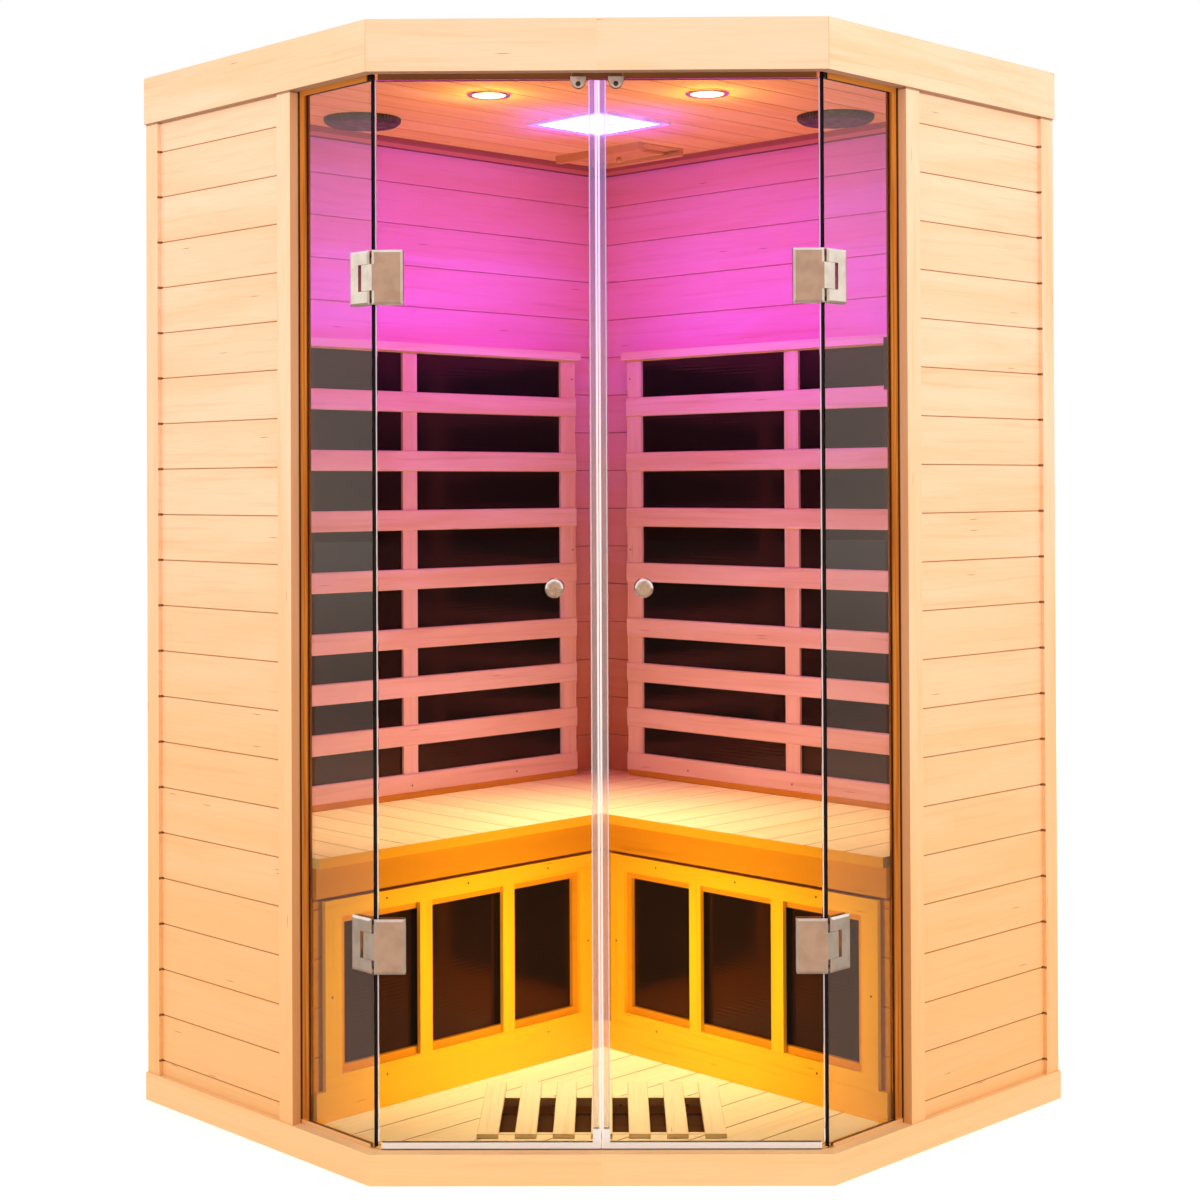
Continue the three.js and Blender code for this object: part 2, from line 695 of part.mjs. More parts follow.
function ventSlide() {
  const [x, y] = VENT_PLACE;
  const half = VENT_WIDTH / 2 - VENT_RAIL + VENT_LIP - FIT;
  const run = [y - VENT_SLIDE_LENGTH / 2, y + VENT_SLIDE_LENGTH / 2];
  const play = (VENT_SLOT - VENT_SLIDE_THICKNESS) / 2;
  const z = [VENT_SLOT_FOOT + play, VENT_SLOT_FOOT + play + VENT_SLIDE_THICKNESS];
  const pull = turned([
    [0, z[0] - VENT_PULL_LENGTH],
    [VENT_PULL_RADIUS * 0.7, z[0] - VENT_PULL_LENGTH],
    [VENT_PULL_RADIUS, z[0] - VENT_PULL_LENGTH * 0.7],
    [VENT_PULL_RADIUS * 0.6, z[0]],
    [VENT_PULL_RADIUS * 0.6, z[1]],
    [0, z[1]],
  ], COARSE);
  return join(box([x - half, x + half], run, z), pull.translate(x, y, 0));
}

// Bench: seat boards across the depth, a rail and panel below, and the heater frame on the panel.
function benchSeat(from) {
  const x = [from, SIDE - INSIDE];
  const lines = grooves(joints(x, from + BOARD_PITCH), BENCH_HEIGHT, -GROOVE_DEPTH);
  const section = [
    [x[0], SEAT_FOOT],
    [x[1], SEAT_FOOT],
    [x[1], BENCH_HEIGHT],
    ...lines.reverse(),
    [x[0], BENCH_HEIGHT],
  ];
  const tabX = [x[1] - SEAT_THICKNESS, BENCH_END];
  const tab = box(tabX, [WALL_END + FIT, BENCH_REACH], [SEAT_FOOT, BENCH_HEIGHT]);
  return join(alongY(section, [INSIDE, BENCH_REACH]), tab);
}

const FRAME_OPENING_X = [FRAME_FROM + FRAME_STILE, FRAME_END - FRAME_STILE];
const FRAME_OPENING_Z = [FRAME_FOOT + FRAME_FOOT_RAIL, FRAME_TOP - FRAME_TOP_RAIL];

// Both panels stop below the rails in the corner, where one rail passes over the other's panel.
function benchFront(panelFrom, railFrom) {
  const panelZ = [PLINTH_HEIGHT + FIT, middle([RAIL_FOOT, SEAT_FOOT])];
  const panel = box([panelFrom, BENCH_END], [PANEL_BACK, PANEL_FRONT], panelZ);
  const railY = [RAIL_FRONT - RAIL_THICKNESS, RAIL_FRONT];
  const rail = box([railFrom, BENCH_END], railY, [RAIL_FOOT, SEAT_FOOT]);
  const openingX = grown(FRAME_OPENING_X, -HEATER_LIP);
  const opening = box(openingX, [0, BENCH_REACH], grown(FRAME_OPENING_Z, -HEATER_LIP));
  const corner = box([0, RAIL_FRONT + FIT], [0, BENCH_REACH], [RAIL_FOOT - FIT, SEAT_FOOT]);
  const seams = joints([PLINTH_HEIGHT, RAIL_FOOT], PLINTH_HEIGHT + FIRST_JOINT).map((z) => {
    const seam = grooves([z], PANEL_FRONT, -GROOVE_DEPTH);
    const closed = [...seam, [z + GROOVE_WIDTH / 2, BENCH_REACH], [z - GROOVE_WIDTH / 2, BENCH_REACH]];
    return alongX(swapped(closed), [FRAME_END, SIDE]);
  });
  return join(cut(panel, opening, corner, ...seams), rail);
}

function heaterFrame(skirtingFrom) {
  const y = [PANEL_FRONT + FIT, RAIL_FRONT];
  const blank = box([FRAME_FROM, FRAME_END], y, [PLINTH_HEIGHT + FIT, FRAME_TOP]);
  const skirting = box([skirtingFrom, BENCH_END], y, [PLINTH_HEIGHT + FIT, FRAME_FOOT]);
  const span = length(FRAME_OPENING_X);
  const pane = (span - (FRAME_PANES - 1) * FRAME_MULLION) / FRAME_PANES;
  const windows = [];
  for (let i = 0; i < FRAME_PANES; i += 1) {
    const from = FRAME_OPENING_X[0] + i * (pane + FRAME_MULLION);
    windows.push(box([from, from + pane], grown(y, FIT), FRAME_OPENING_Z));
  }
  return join(cut(blank, ...windows), skirting);
}

function lowHeater() {
  const y = [PANEL_BACK - FIT - LOW_HEATER_THICKNESS, PANEL_BACK - FIT];
  const margin = LOW_HEATER_MARGIN - HEATER_LIP;
  return box(grown(FRAME_OPENING_X, margin), y, grown(FRAME_OPENING_Z, margin));
}

// Backrest: slats on three uprights in front of the heater, with a ledge on top.
function grilleSlat(z) {
  const chamfer = GRILLE_SLAT_CHAMFER;
  const section = [
    [SLAT_BACK, z[0]],
    [GRILLE_FRONT - chamfer, z[0]],
    [GRILLE_FRONT, z[0] + chamfer],
    [GRILLE_FRONT, z[1] - chamfer],
    [GRILLE_FRONT - chamfer, z[1]],
    [SLAT_BACK, z[1]],
  ];
  return alongX(section, [GRILLE_FROM, GRILLE_END]);
}

const GRILLE_ROWS = [...Array(TALL_ROWS).fill(TALL_WINDOW), ...Array(LOW_ROWS).fill(LOW_WINDOW)];
const GRILLE_SPAN =
  GRILLE_ROWS.reduce((sum, row) => sum + row) +
  (GRILLE_ROWS.length - 1) * GRILLE_SLAT_HEIGHT +
  GRILLE_FOOT_RAIL;
const GRILLE_FOOT = BENCH_HEIGHT + GRILLE_FOOT_GAP;
const GRILLE_WINDOWS_TOP = GRILLE_FOOT + GRILLE_SPAN;
const LEDGE_FOOT = GRILLE_WINDOWS_TOP + GRILLE_HEAD;
const LEDGE_Z = [LEDGE_FOOT, LEDGE_FOOT + LEDGE_THICKNESS];

function backrestGrille() {
  const ledge = box(
    grown([GRILLE_FROM, GRILLE_END], LEDGE_OVERHANG / 2),
    [INSIDE, GRILLE_FRONT + LEDGE_OVERHANG],
    LEDGE_Z,
  );
  const head = box(
    [GRILLE_FROM, GRILLE_END],
    [SLAT_BACK, GRILLE_FRONT],
    [GRILLE_WINDOWS_TOP, middle(LEDGE_Z)],
  );
  const pieces = [ledge, head];
  const centre = middle([GRILLE_FROM, GRILLE_END]);
  const uprights = [
    [GRILLE_FROM, GRILLE_FROM + GRILLE_STILE],
    [centre - GRILLE_MULLION / 2, centre + GRILLE_MULLION / 2],
    [GRILLE_END - GRILLE_STILE, GRILLE_END],
  ];
  const uprightY = [BACK_HEATER_FRONT + FIT, GRILLE_FRONT - UPRIGHT_SETBACK];
  uprights.forEach((x) => {
    pieces.push(box(x, uprightY, [GRILLE_FOOT, middle(LEDGE_Z)]));
  });
  let top = GRILLE_WINDOWS_TOP;
  GRILLE_ROWS.forEach((row, i) => {
    const last = i === GRILLE_ROWS.length - 1;
    const height = last ? GRILLE_FOOT_RAIL : GRILLE_SLAT_HEIGHT;
    pieces.push(grilleSlat([top - row - height, top - row]));
    top -= row + height;
  });
  return join(...pieces);
}

// A shallow tray with its open side on the wall and the heating sheet in front.
function backHeater() {
  const x = [GRILLE_FROM, GRILLE_END];
  const z = [GRILLE_FOOT, LEDGE_FOOT - FIT];
  const hollowY = [0, BACK_HEATER_FRONT - BACK_HEATER_SHEET];
  const hollow = box(grown(x, -BACK_HEATER_RIM), hollowY, grown(z, -BACK_HEATER_RIM));
  return cut(box(x, [INSIDE, BACK_HEATER_FRONT], z), hollow);
}

// Fixed glass strip in its channel, drawn in the side frame.
const BEND_SIDE = FACE - GLASS_MIDDLE * BEND; // the bend, measured along the side
const STRIP_X = [WALL_END + FIT + CHANNEL_WEB + FIT, BEND_SIDE - CORNER_GAP];
const HEAD_CHANNEL_FOOT = FASCIA_FOOT - HEAD_CHANNEL_SHOWN;
const STRIP_Z = [PLINTH_HEIGHT + SILL_CHANNEL_WEB, HEAD_CHANNEL_FOOT + HEAD_CHANNEL_HEIGHT / 2];

function cutoutZ(level) {
  return grown([level, level], HINGE_CORE_HEIGHT / 2 + CUTOUT_PLAY);
}

function fixedGlass() {
  const pane = box(STRIP_X, [GLASS_INSET, GLASS_BACK], STRIP_Z);
  const cutouts = Object.values(HINGE_LEVELS).map((level) => {
    const from = BEND_SIDE - FIXED_CORE_END - CUTOUT_PLAY;
    return box([from, FACE], [0, WALL_DEPTH], cutoutZ(level));
  });
  return cut(pane, ...cutouts);
}

function glassChannel() {
  const top = HEAD_CHANNEL_FOOT + HEAD_CHANNEL_HEIGHT;
  const end = BEND_SIDE - FIXED_PLATE_FROM - GLASS;
  const from = WALL_END + FIT;
  const jamb = box([from, from + CHANNEL_WIDTH], CHANNEL_Y, [PLINTH_HEIGHT, top]);
  const lintel = box([from, end], CHANNEL_Y, [HEAD_CHANNEL_FOOT, top]);
  const sill = box([from, end], CHANNEL_Y, [PLINTH_HEIGHT, PLINTH_HEIGHT + SILL_CHANNEL_HEIGHT]);
  const slotZ = [STRIP_Z[0], STRIP_Z[1] + FIT];
  const slot = box([from + CHANNEL_WEB, FACE], grown([GLASS_INSET, GLASS_BACK], FIT), slotZ);
  return cut(join(jamb, lintel, sill), slot);
}

// Doors, drawn in the front frame with the left door on the -X side.
const DOOR_X = [CORNER_GAP - BEND_X, -MEETING_GAP];
const DOOR_Y = [GLASS_INSET, GLASS_BACK];
const DOOR_Z = [DOOR_FOOT, DOOR_HEAD];

function doorGlass() {
  const pane = box(DOOR_X, DOOR_Y, DOOR_Z);
  const cutouts = Object.values(HINGE_LEVELS).map((level) => {
    return box([-BEND_X, DOOR_CORE_END + CUTOUT_PLAY - BEND_X], [0, WALL_DEPTH], cutoutZ(level));
  });
  const bore = rod(KNOB_HOLE_RADIUS, [0, WALL_DEPTH]).rotateX(-Math.PI / 2);
  return cut(pane, ...cutouts, bore.translate(-KNOB_SETBACK, 0, KNOB_LEVEL));
}

// One clear profile: a meeting seal up the free edge and a sweep along the foot.
function doorSeal() {
  const y = grown(DOOR_Y, FIT + SEAL_WALL);
  const foot = PLINTH_HEIGHT + SWEEP_CLEARANCE;
  const nose = box([-MEETING_GAP - SEAL_LEG, -SEAL_GAP], y, [foot, DOOR_HEAD - 2 * SEAL_WALL]);
  const sweepFrom = DOOR_X[0] + CORNER_GAP;
  const sweep = box([sweepFrom, -SEAL_GAP], y, [foot, DOOR_FOOT + SWEEP_LEG]);
  const slot = box([-FRONT_WIDTH, FIT - MEETING_GAP], grown(DOOR_Y, FIT), [DOOR_FOOT - FIT, HEIGHT]);
  return cut(join(nose, sweep), slot);
}

function doorKnob() {
  const base = FIT + GLASS / 2;
  const tip = GLASS / 2 + KNOB_LENGTH;
  const half = [
    [KNOB_SPINDLE_RADIUS, base],
    [KNOB_FOOT_RADIUS, base],
    [KNOB_FOOT_RADIUS, base + KNOB_LENGTH * 0.1],
    [KNOB_NECK_RADIUS, base + KNOB_LENGTH * 0.22],
    [KNOB_NECK_RADIUS, base + KNOB_LENGTH * 0.4],
    [KNOB_RADIUS * 0.86, base + KNOB_LENGTH * 0.52],
    [KNOB_RADIUS, base + KNOB_LENGTH * 0.66],
    [KNOB_RADIUS, base + KNOB_LENGTH * 0.8],
    [KNOB_RADIUS * 0.8, tip - KNOB_LENGTH * 0.05],
    [0, tip],
  ];
  const mirrored = half.map(([radius, height]) => [radius, -height]).reverse();
  const knob = turned([...mirrored, ...half], FINE).rotateX(-Math.PI / 2);
  return knob.translate(-KNOB_SETBACK, GLASS_MIDDLE, KNOB_LEVEL);
}

// A clip over the top edge of the glass, with a half-round lobe on each face.
function strikeClip() {
  const half = CLIP_WIDTH / 2;
  const foot = DOOR_HEAD - CLIP_GRIP;
  const shape = new THREE.Shape();
  shape.moveTo(-half, DOOR_HEAD + CLIP_RISE);
  shape.lineTo(-half, foot);
  shape.lineTo(-CLIP_LOBE_RADIUS, foot);
  shape.absarc(0, foot, CLIP_LOBE_RADIUS, Math.PI, 2 * Math.PI, false);
  shape.lineTo(half, foot);
  shape.lineTo(half, DOOR_HEAD + CLIP_RISE);
  const block = shapeAlongY(shape, grown(DOOR_Y, FIT + CLIP_WALL));
  const slot = box([-CLIP_WIDTH, CLIP_WIDTH], grown(DOOR_Y, FIT), [0, DOOR_HEAD + FIT]);
  return cut(block, slot).translate(-CLIP_SETBACK, 0, 0);
}

// Two magnets on an arm behind the front fascia, just behind the clips.
function doorCatch() {
  const faceY = GLASS_BACK + FIT + CLIP_WALL + CATCH_PLAY;
  const back = faceY + CATCH_DEPTH;
  const half = CATCH_WIDTH / 2;
  const armFoot = DOOR_HEAD + CLIP_RISE + DOOR_HEAD_GAP;
  const arm = box([-half, half], [FASCIA_THICKNESS + FIT, back], [armFoot, armFoot + CATCH_HEIGHT]);
  const magnets = box([-half, half], [faceY, back], [DOOR_HEAD - CATCH_DROP, armFoot + CATCH_HEIGHT / 2]);
  const gap = box([-CATCH_GAP / 2, CATCH_GAP / 2], [0, back + CATCH_DEPTH], [0, armFoot]);
  return cut(join(arm, magnets), gap);
}

// Hinges. Their frame starts at the bend, in the middle of the glass: X along the door, Y inwards.
const PLATE_NEAR = GLASS / 2 + FIT;
const HINGE_Z = [-HINGE_HEIGHT / 2, HINGE_HEIGHT / 2];
const CORE_Z = [-HINGE_CORE_HEIGHT / 2, HINGE_CORE_HEIGHT / 2];
const CORE_Y = [-PLATE_NEAR - FIT, PLATE_NEAR + FIT];
const TONGUE_Z = [TONGUE_PLAY - NOTCH_HEIGHT / 2, NOTCH_HEIGHT / 2 - TONGUE_PLAY];

function pinBore(radius) {
  return rod(radius, [-HINGE_HEIGHT, HINGE_HEIGHT]);
}

// The fixed leaf's own direction leaves the bend along the side glass.
const ALONG_SIDE = [-Math.SQRT1_2, Math.SQRT1_2];
const OUT_OF_SIDE = [-Math.SQRT1_2, -Math.SQRT1_2];
const PIN_PLACE = ALONG_SIDE.map((part) => part * PIN_FROM_BEND);

function onSide(along, out) {
  return [0, 1].map((i) => ALONG_SIDE[i] * along + OUT_OF_SIDE[i] * out);
}

function doorLeaf() {
  const mitre = HINGE_REACH * BEND;
  const x = [-mitre, DOOR_PLATE_WIDTH - mitre];
  const backFrom = mitre + TONGUE_PLAY;
  const plates = [
    bevelledPlate(x, [-HINGE_REACH, -PLATE_NEAR], HINGE_Z, HINGE_BEVEL),
    bevelledPlate([backFrom, x[1]], [PLATE_NEAR, HINGE_REACH], HINGE_Z, HINGE_BEVEL),
  ];
  const core = box([FIXED_PLATE_FROM, DOOR_CORE_END], CORE_Y, CORE_Z);
  const tongue = upright(
    [
      [-mitre, -HINGE_REACH],
      [TONGUE_ROOT, -HINGE_REACH],
      [TONGUE_ROOT, HINGE_REACH],
      [mitre, HINGE_REACH],
      onSide(TONGUE_END, -HINGE_REACH),
      onSide(TONGUE_END, HINGE_REACH),
    ],
    TONGUE_Z,
  );
  return cut(join(...plates, core, tongue), pinBore(PIN_RADIUS + PIN_PLAY).translate(...PIN_PLACE, 0));
}

function fixedLeaf() {
  const x = [FIXED_PLATE_FROM, FIXED_PLATE_FROM + FIXED_PLATE_WIDTH];
  const plates = [
    bevelledPlate(x, [-HINGE_REACH, -PLATE_NEAR], HINGE_Z, HINGE_BEVEL),
    bevelledPlate(x, [PLATE_NEAR, HINGE_REACH], HINGE_Z, HINGE_BEVEL),
  ];
  const core = box([FIXED_PLATE_FROM, FIXED_CORE_END], CORE_Y, CORE_Z);
  const notchZ = [-NOTCH_HEIGHT / 2, NOTCH_HEIGHT / 2];
  const notch = box([0, NOTCH_END], [-2 * HINGE_REACH, 2 * HINGE_REACH], notchZ);
  const bore = pinBore(PIN_RADIUS + PIN_PLAY).translate(PIN_FROM_BEND, 0, 0);
  return cut(join(...plates, core), notch, bore).rotateZ(0.75 * Math.PI);
}

function hingePin() {
  const half = HINGE_CORE_HEIGHT / 2;
  const profile = [
    [0, -half],
    [PIN_RADIUS - PIN_CHAMFER, -half],
    [PIN_RADIUS, PIN_CHAMFER - half],
    [PIN_RADIUS, half - PIN_CHAMFER],
    [PIN_RADIUS - PIN_CHAMFER, half],
    [0, half],
  ];
  return turned(profile, COARSE).translate(...PIN_PLACE, 0);
}

// Electrics
function powerBox() {
  const [across, width, height] = POWER_BOX;
  const x = [-across / 2, across / 2];
  const y = [POWER_BOX_FROM, POWER_BOX_FROM + width];
  const foot = [CEILING_TOP, CEILING_TOP + POWER_BOX_FLANGE_THICKNESS];
  const body = box(x, y, [CEILING_TOP, CEILING_TOP + height]);
  return join(body, box(grown(x, POWER_BOX_FLANGE), y, foot));
}

function controlPanel() {
  const [across, height, depth] = CONTROL_PANEL;
  const [from, foot] = CONTROL_PANEL_PLACE;
  const x = [from, from + across];
  const z = [foot, foot + height];
  const y = [INSIDE, INSIDE + depth];
  const screen = box(
    grown(x, -CONTROL_SCREEN_MARGIN),
    [y[1] - CONTROL_SCREEN_DEPTH, y[1] + CONTROL_SCREEN_DEPTH],
    grown(z, -CONTROL_SCREEN_MARGIN),
  );
  return cut(bevelledPlate(x, y, z, CONTROL_PANEL_BEVEL), screen);
}

// Assembly: pieces that come once, then each half with its own starts at the back corner.
function addMiddle({ wing, front }) {
  piece(wing, "base_platform", basePlatform(), PALE_WOOD);
  piece(wing, "floor_deck", floorDeck(), INNER_WOOD);
  piece(front, "foot_heater", footHeater(), HEATER_BLACK);
  piece(front, "foot_grille", footGrille(), INNER_WOOD);
  piece(wing, "ceiling_panel", ceilingPanel(), INNER_WOOD);
  piece(wing, "roof_cover", roofCover(), PALE_WOOD);
  piece(wing, "fascia_front", fasciaBoard(2, 3), PALE_WOOD);
  piece(wing, "fascia_back", backFascia(), PALE_WOOD);
  piece(wing, "light_panel", lightPanel(), LIGHT_WHITE);
  piece(wing, "vent_frame", ventFrame(), INNER_WOOD);
  piece(wing, "vent_slide", ventSlide(), INNER_WOOD);
  piece(front, "power_box", powerBox(), BOX_STEEL);
  piece(front, "door_catch", doorCatch(), DARK_PLASTIC);
}

function addHinge(front, name, level) {
  const hinge = new THREE.Group();
  hinge.position.set(-BEND_X, GLASS_MIDDLE, level);
  front.add(hinge);
  piece(hinge, `${name}_hinge_fixed_leaf`, fixedLeaf(), SATIN_NICKEL);
  piece(hinge, `${name}_hinge_door_leaf`, doorLeaf(), SATIN_NICKEL);
  piece(hinge, `${name}_hinge_pin`, hingePin(), STEEL);
}

function addHalf({ wing, side, front }, name, isLeft) {
  piece(wing, `${name}_back_wall`, backWall(isLeft), PALE_WOOD);
  piece(side, `${name}_side_wall`, sideWall(), PALE_WOOD);
  piece(wing, `${name}_fascia`, fasciaBoard(1, 2), PALE_WOOD);
  piece(side, `${name}_fixed_glass`, fixedGlass(), CLEAR_GLASS);
  piece(side, `${name}_glass_channel`, glassChannel(), BROWN_CHANNEL);
  piece(front, `${name}_door_glass`, doorGlass(), CLEAR_GLASS);
  piece(front, `${name}_door_seal`, doorSeal(), CLEAR_SEAL);
  piece(front, `${name}_knob`, doorKnob(), CHROME);
  piece(front, `${name}_strike_clip`, strikeClip(), CHROME);
  piece(wing, `${name}_bench_seat`, benchSeat(isLeft ? INSIDE : BENCH_REACH + FIT), INNER_WOOD);
  const panelFrom = isLeft ? PANEL_BACK : PANEL_FRONT + FIT;
  const railFrom = isLeft ? PANEL_BACK : RAIL_FRONT + FIT;
  piece(wing, `${name}_bench_front`, benchFront(panelFrom, railFrom), INNER_WOOD);
  const skirtingFrom = isLeft ? PANEL_FRONT + 2 * FIT : RAIL_FRONT + FIT;
  piece(wing, `${name}_heater_frame`, heaterFrame(skirtingFrom), INNER_WOOD);
  piece(wing, `${name}_low_heater`, lowHeater(), HEATER_BLACK);
  piece(wing, `${name}_backrest_grille`, backrestGrille(), INNER_WOOD);
  piece(wing, `${name}_back_heater`, backHeater(), HEATER_BLACK);
  piece(front, `${name}_spotlight`, spotlight(), CHROME);
  piece(wing, `${name}_speaker`, speaker(), SPEAKER_GREY);
  Object.entries(HINGE_LEVELS).forEach(([place, level]) => addHinge(front, `${name}_${place}`, level));
}

const left = makeHalf(1);
const right = makeHalf(-1);
addMiddle(left);
addHalf(left, "left", true);
addHalf(right, "right", false);
piece(right.side, "control_panel", controlPanel(), DARK_PLASTIC);

export default cabin;
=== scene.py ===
"""Finishes, small trim, lamps, floor and camera for a corner infrared sauna cabin.

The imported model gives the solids. Lengths are metres. Places inside the cabin are given as (s, t, z):
s runs along a back wall from the back corner, t runs away from that wall, and both halves share them.
"""

import math

import bpy
import numpy as np
from mathutils import Matrix, Vector


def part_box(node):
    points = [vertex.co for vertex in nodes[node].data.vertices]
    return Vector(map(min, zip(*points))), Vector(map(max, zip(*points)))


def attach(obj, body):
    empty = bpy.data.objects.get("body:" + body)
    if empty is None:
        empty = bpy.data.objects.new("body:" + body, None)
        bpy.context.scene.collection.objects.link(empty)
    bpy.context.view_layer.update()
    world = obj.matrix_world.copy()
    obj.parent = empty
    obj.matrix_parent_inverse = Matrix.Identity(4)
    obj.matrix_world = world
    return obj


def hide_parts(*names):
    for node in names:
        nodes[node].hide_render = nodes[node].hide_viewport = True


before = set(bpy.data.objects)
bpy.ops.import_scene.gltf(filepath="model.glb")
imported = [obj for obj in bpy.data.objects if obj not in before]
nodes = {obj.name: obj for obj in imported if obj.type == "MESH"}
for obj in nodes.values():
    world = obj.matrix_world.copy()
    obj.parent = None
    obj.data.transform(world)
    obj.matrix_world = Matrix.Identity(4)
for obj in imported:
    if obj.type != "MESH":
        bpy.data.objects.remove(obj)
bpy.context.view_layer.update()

# Places taken from the solids
DIAGONAL = math.sqrt(0.5)
BACK_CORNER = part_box("base_platform")[1].y  # the front plane lies as far on the other side
SIDE = 1.2
PLINTH = 0.051
CEILING = 1.848
ROOF_SHEET = 1.896
WALL_END = 0.4537
WALL_DEPTH = 0.048
STILE = 0.038
BOARD = 0.084
FIRST_JOINT = PLINTH + 0.0277
DECK_JOINT = 0.060
SEAT_JOINTS = {"left": 0.0483, "right": 0.492}
GLASS_FROM = 0.024  # front plane to the outer face of a pane
GLASS_TO = 0.032
BEND_SIDE = 0.653122  # bend in the glass, along the slanted side
BEND_FRONT = 0.366902  # bend in the glass, from the middle line
PANE_EDGE = 0.0034  # bend to the edge of either pane
HINGE_LEVELS = (0.383, 1.480)
HINGE_CUT = 0.036  # half the height of the notch in a pane
KNOB_LEVEL = 0.969
KNOB_SETBACK = 0.073
RAIL_FRONT = 0.4837
GRILLE_FRONT = 0.088
GRILLE_SPAN = (0.165, 1.098)
UPRIGHT_FRONT = 0.0845
FRAME_SPAN = (0.5077, 1.145)
FRAME_OPENING = (0.128, 0.3975)
BENCH_EDGE = 0.4917
CORNICE = 0.020
FASCIA_FOOT = 1.814
SEAT_TOP = 0.504
GRILLE_FOOT = 0.517
HALVES = {"left": -1, "right": 1}


# Surfaces

def in_cabin(s, t, z, half):
    """Turns places along a back wall into the shared frame: x = half (s - t) / root 2, y = corner - (s + t) / root 2."""
    s, t, z = np.broadcast_arrays(np.asarray(s, float), t, z)
    return np.stack([half * DIAGONAL * (s - t), BACK_CORNER - DIAGONAL * (s + t), z], axis=-1)


def turned(profile, sides):
    """Rings of a turned shape: each (radius, height) pair becomes a circle radius (cos a, sin a) at that height."""
    radius, height = np.asarray(profile, float).T
    angle = np.linspace(0, 2 * math.pi, sides, endpoint=False)
    rings = np.empty((len(radius), sides, 3))
    rings[..., 0] = radius[:, None] * np.cos(angle)
    rings[..., 1] = radius[:, None] * np.sin(angle)
    rings[..., 2] = height[:, None]
    return rings


def turned_on(profile, sides, centre, across, up, out):
    """The same rings set on a face: the circle lies in across and up, and the height runs along out."""
    rings = turned(profile, sides)
    return np.asarray(centre) + rings @ np.array([across, up, out], float)


def carried(section, path):
    """A closed section carried along a path: every ring is the section's offsets added to one path point."""
    return np.asarray(path, float)[:, None, :] + np.asarray(section, float)[None, :, :]


def faces_of(rings, first):
    """Quads between neighbouring rings, closed round each ring, with a flat cap on the first and the last."""
    count, around = rings.shape[:2]
    index = first + np.arange(count * around).reshape(count, around)
    beside = np.roll(index, -1, axis=1)
    quads = np.stack([index[:-1], beside[:-1], beside[1:], index[1:]], axis=-1).reshape(-1, 4)
    return [*quads.tolist(), index[0, ::-1].tolist(), index[-1].tolist()]


def outward(rings):
    """The rings in the order that makes their quads face outwards, from the sign of the enclosed volume."""
    beside = np.roll(rings, -1, axis=1)
    a, b, c, d = rings[:-1], beside[:-1], beside[1:], rings[1:]
    centre = rings.reshape(-1, 3).mean(axis=0)
    wall = np.einsum("ijk,ijk->", a - centre, np.cross(b - centre, c - centre))
    wall += np.einsum("ijk,ijk->", a - centre, np.cross(c - centre, d - centre))
    for ring, sign in ((rings[0], -1), (rings[-1], 1)):
        turn = np.cross(ring - centre, np.roll(ring, -1, axis=0) - centre)
        wall += sign * np.einsum("jk,k->", turn, ring.mean(axis=0) - centre)
    return rings if wall > 0 else rings[::-1]


def piece(name, lofts, finish, body, smooth=35):
    """One object of one or more closed lofts, riding on a body."""
    points, faces, first = [], [], 0
    for rings in map(outward, lofts):
        points.append(rings.reshape(-1, 3))
        faces += faces_of(rings, first)
        first += rings.shape[0] * rings.shape[1]
    mesh = bpy.data.meshes.new(name)
    mesh.from_pydata(np.concatenate(points), [], faces)
    mesh.polygons.foreach_set("use_smooth", np.ones(len(mesh.polygons), bool))
    mesh.set_sharp_from_angle(angle=math.radians(smooth))
    mesh.materials.append(finish)
    made = bpy.data.objects.new(name, mesh)
    bpy.context.scene.collection.objects.link(made)
    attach(made, body)
    return made


# Finishes

def colour(code):
    """A six-digit colour code as linear red, green, blue and a full alpha."""
    parts = np.array([int(code[i:i + 2], 16) for i in (0, 2, 4)]) / 255
    linear = np.where(parts > 0.04045, ((parts + 0.055) / 1.055) ** 2.4, parts / 12.92)
    return (*linear.tolist(), 1.0)


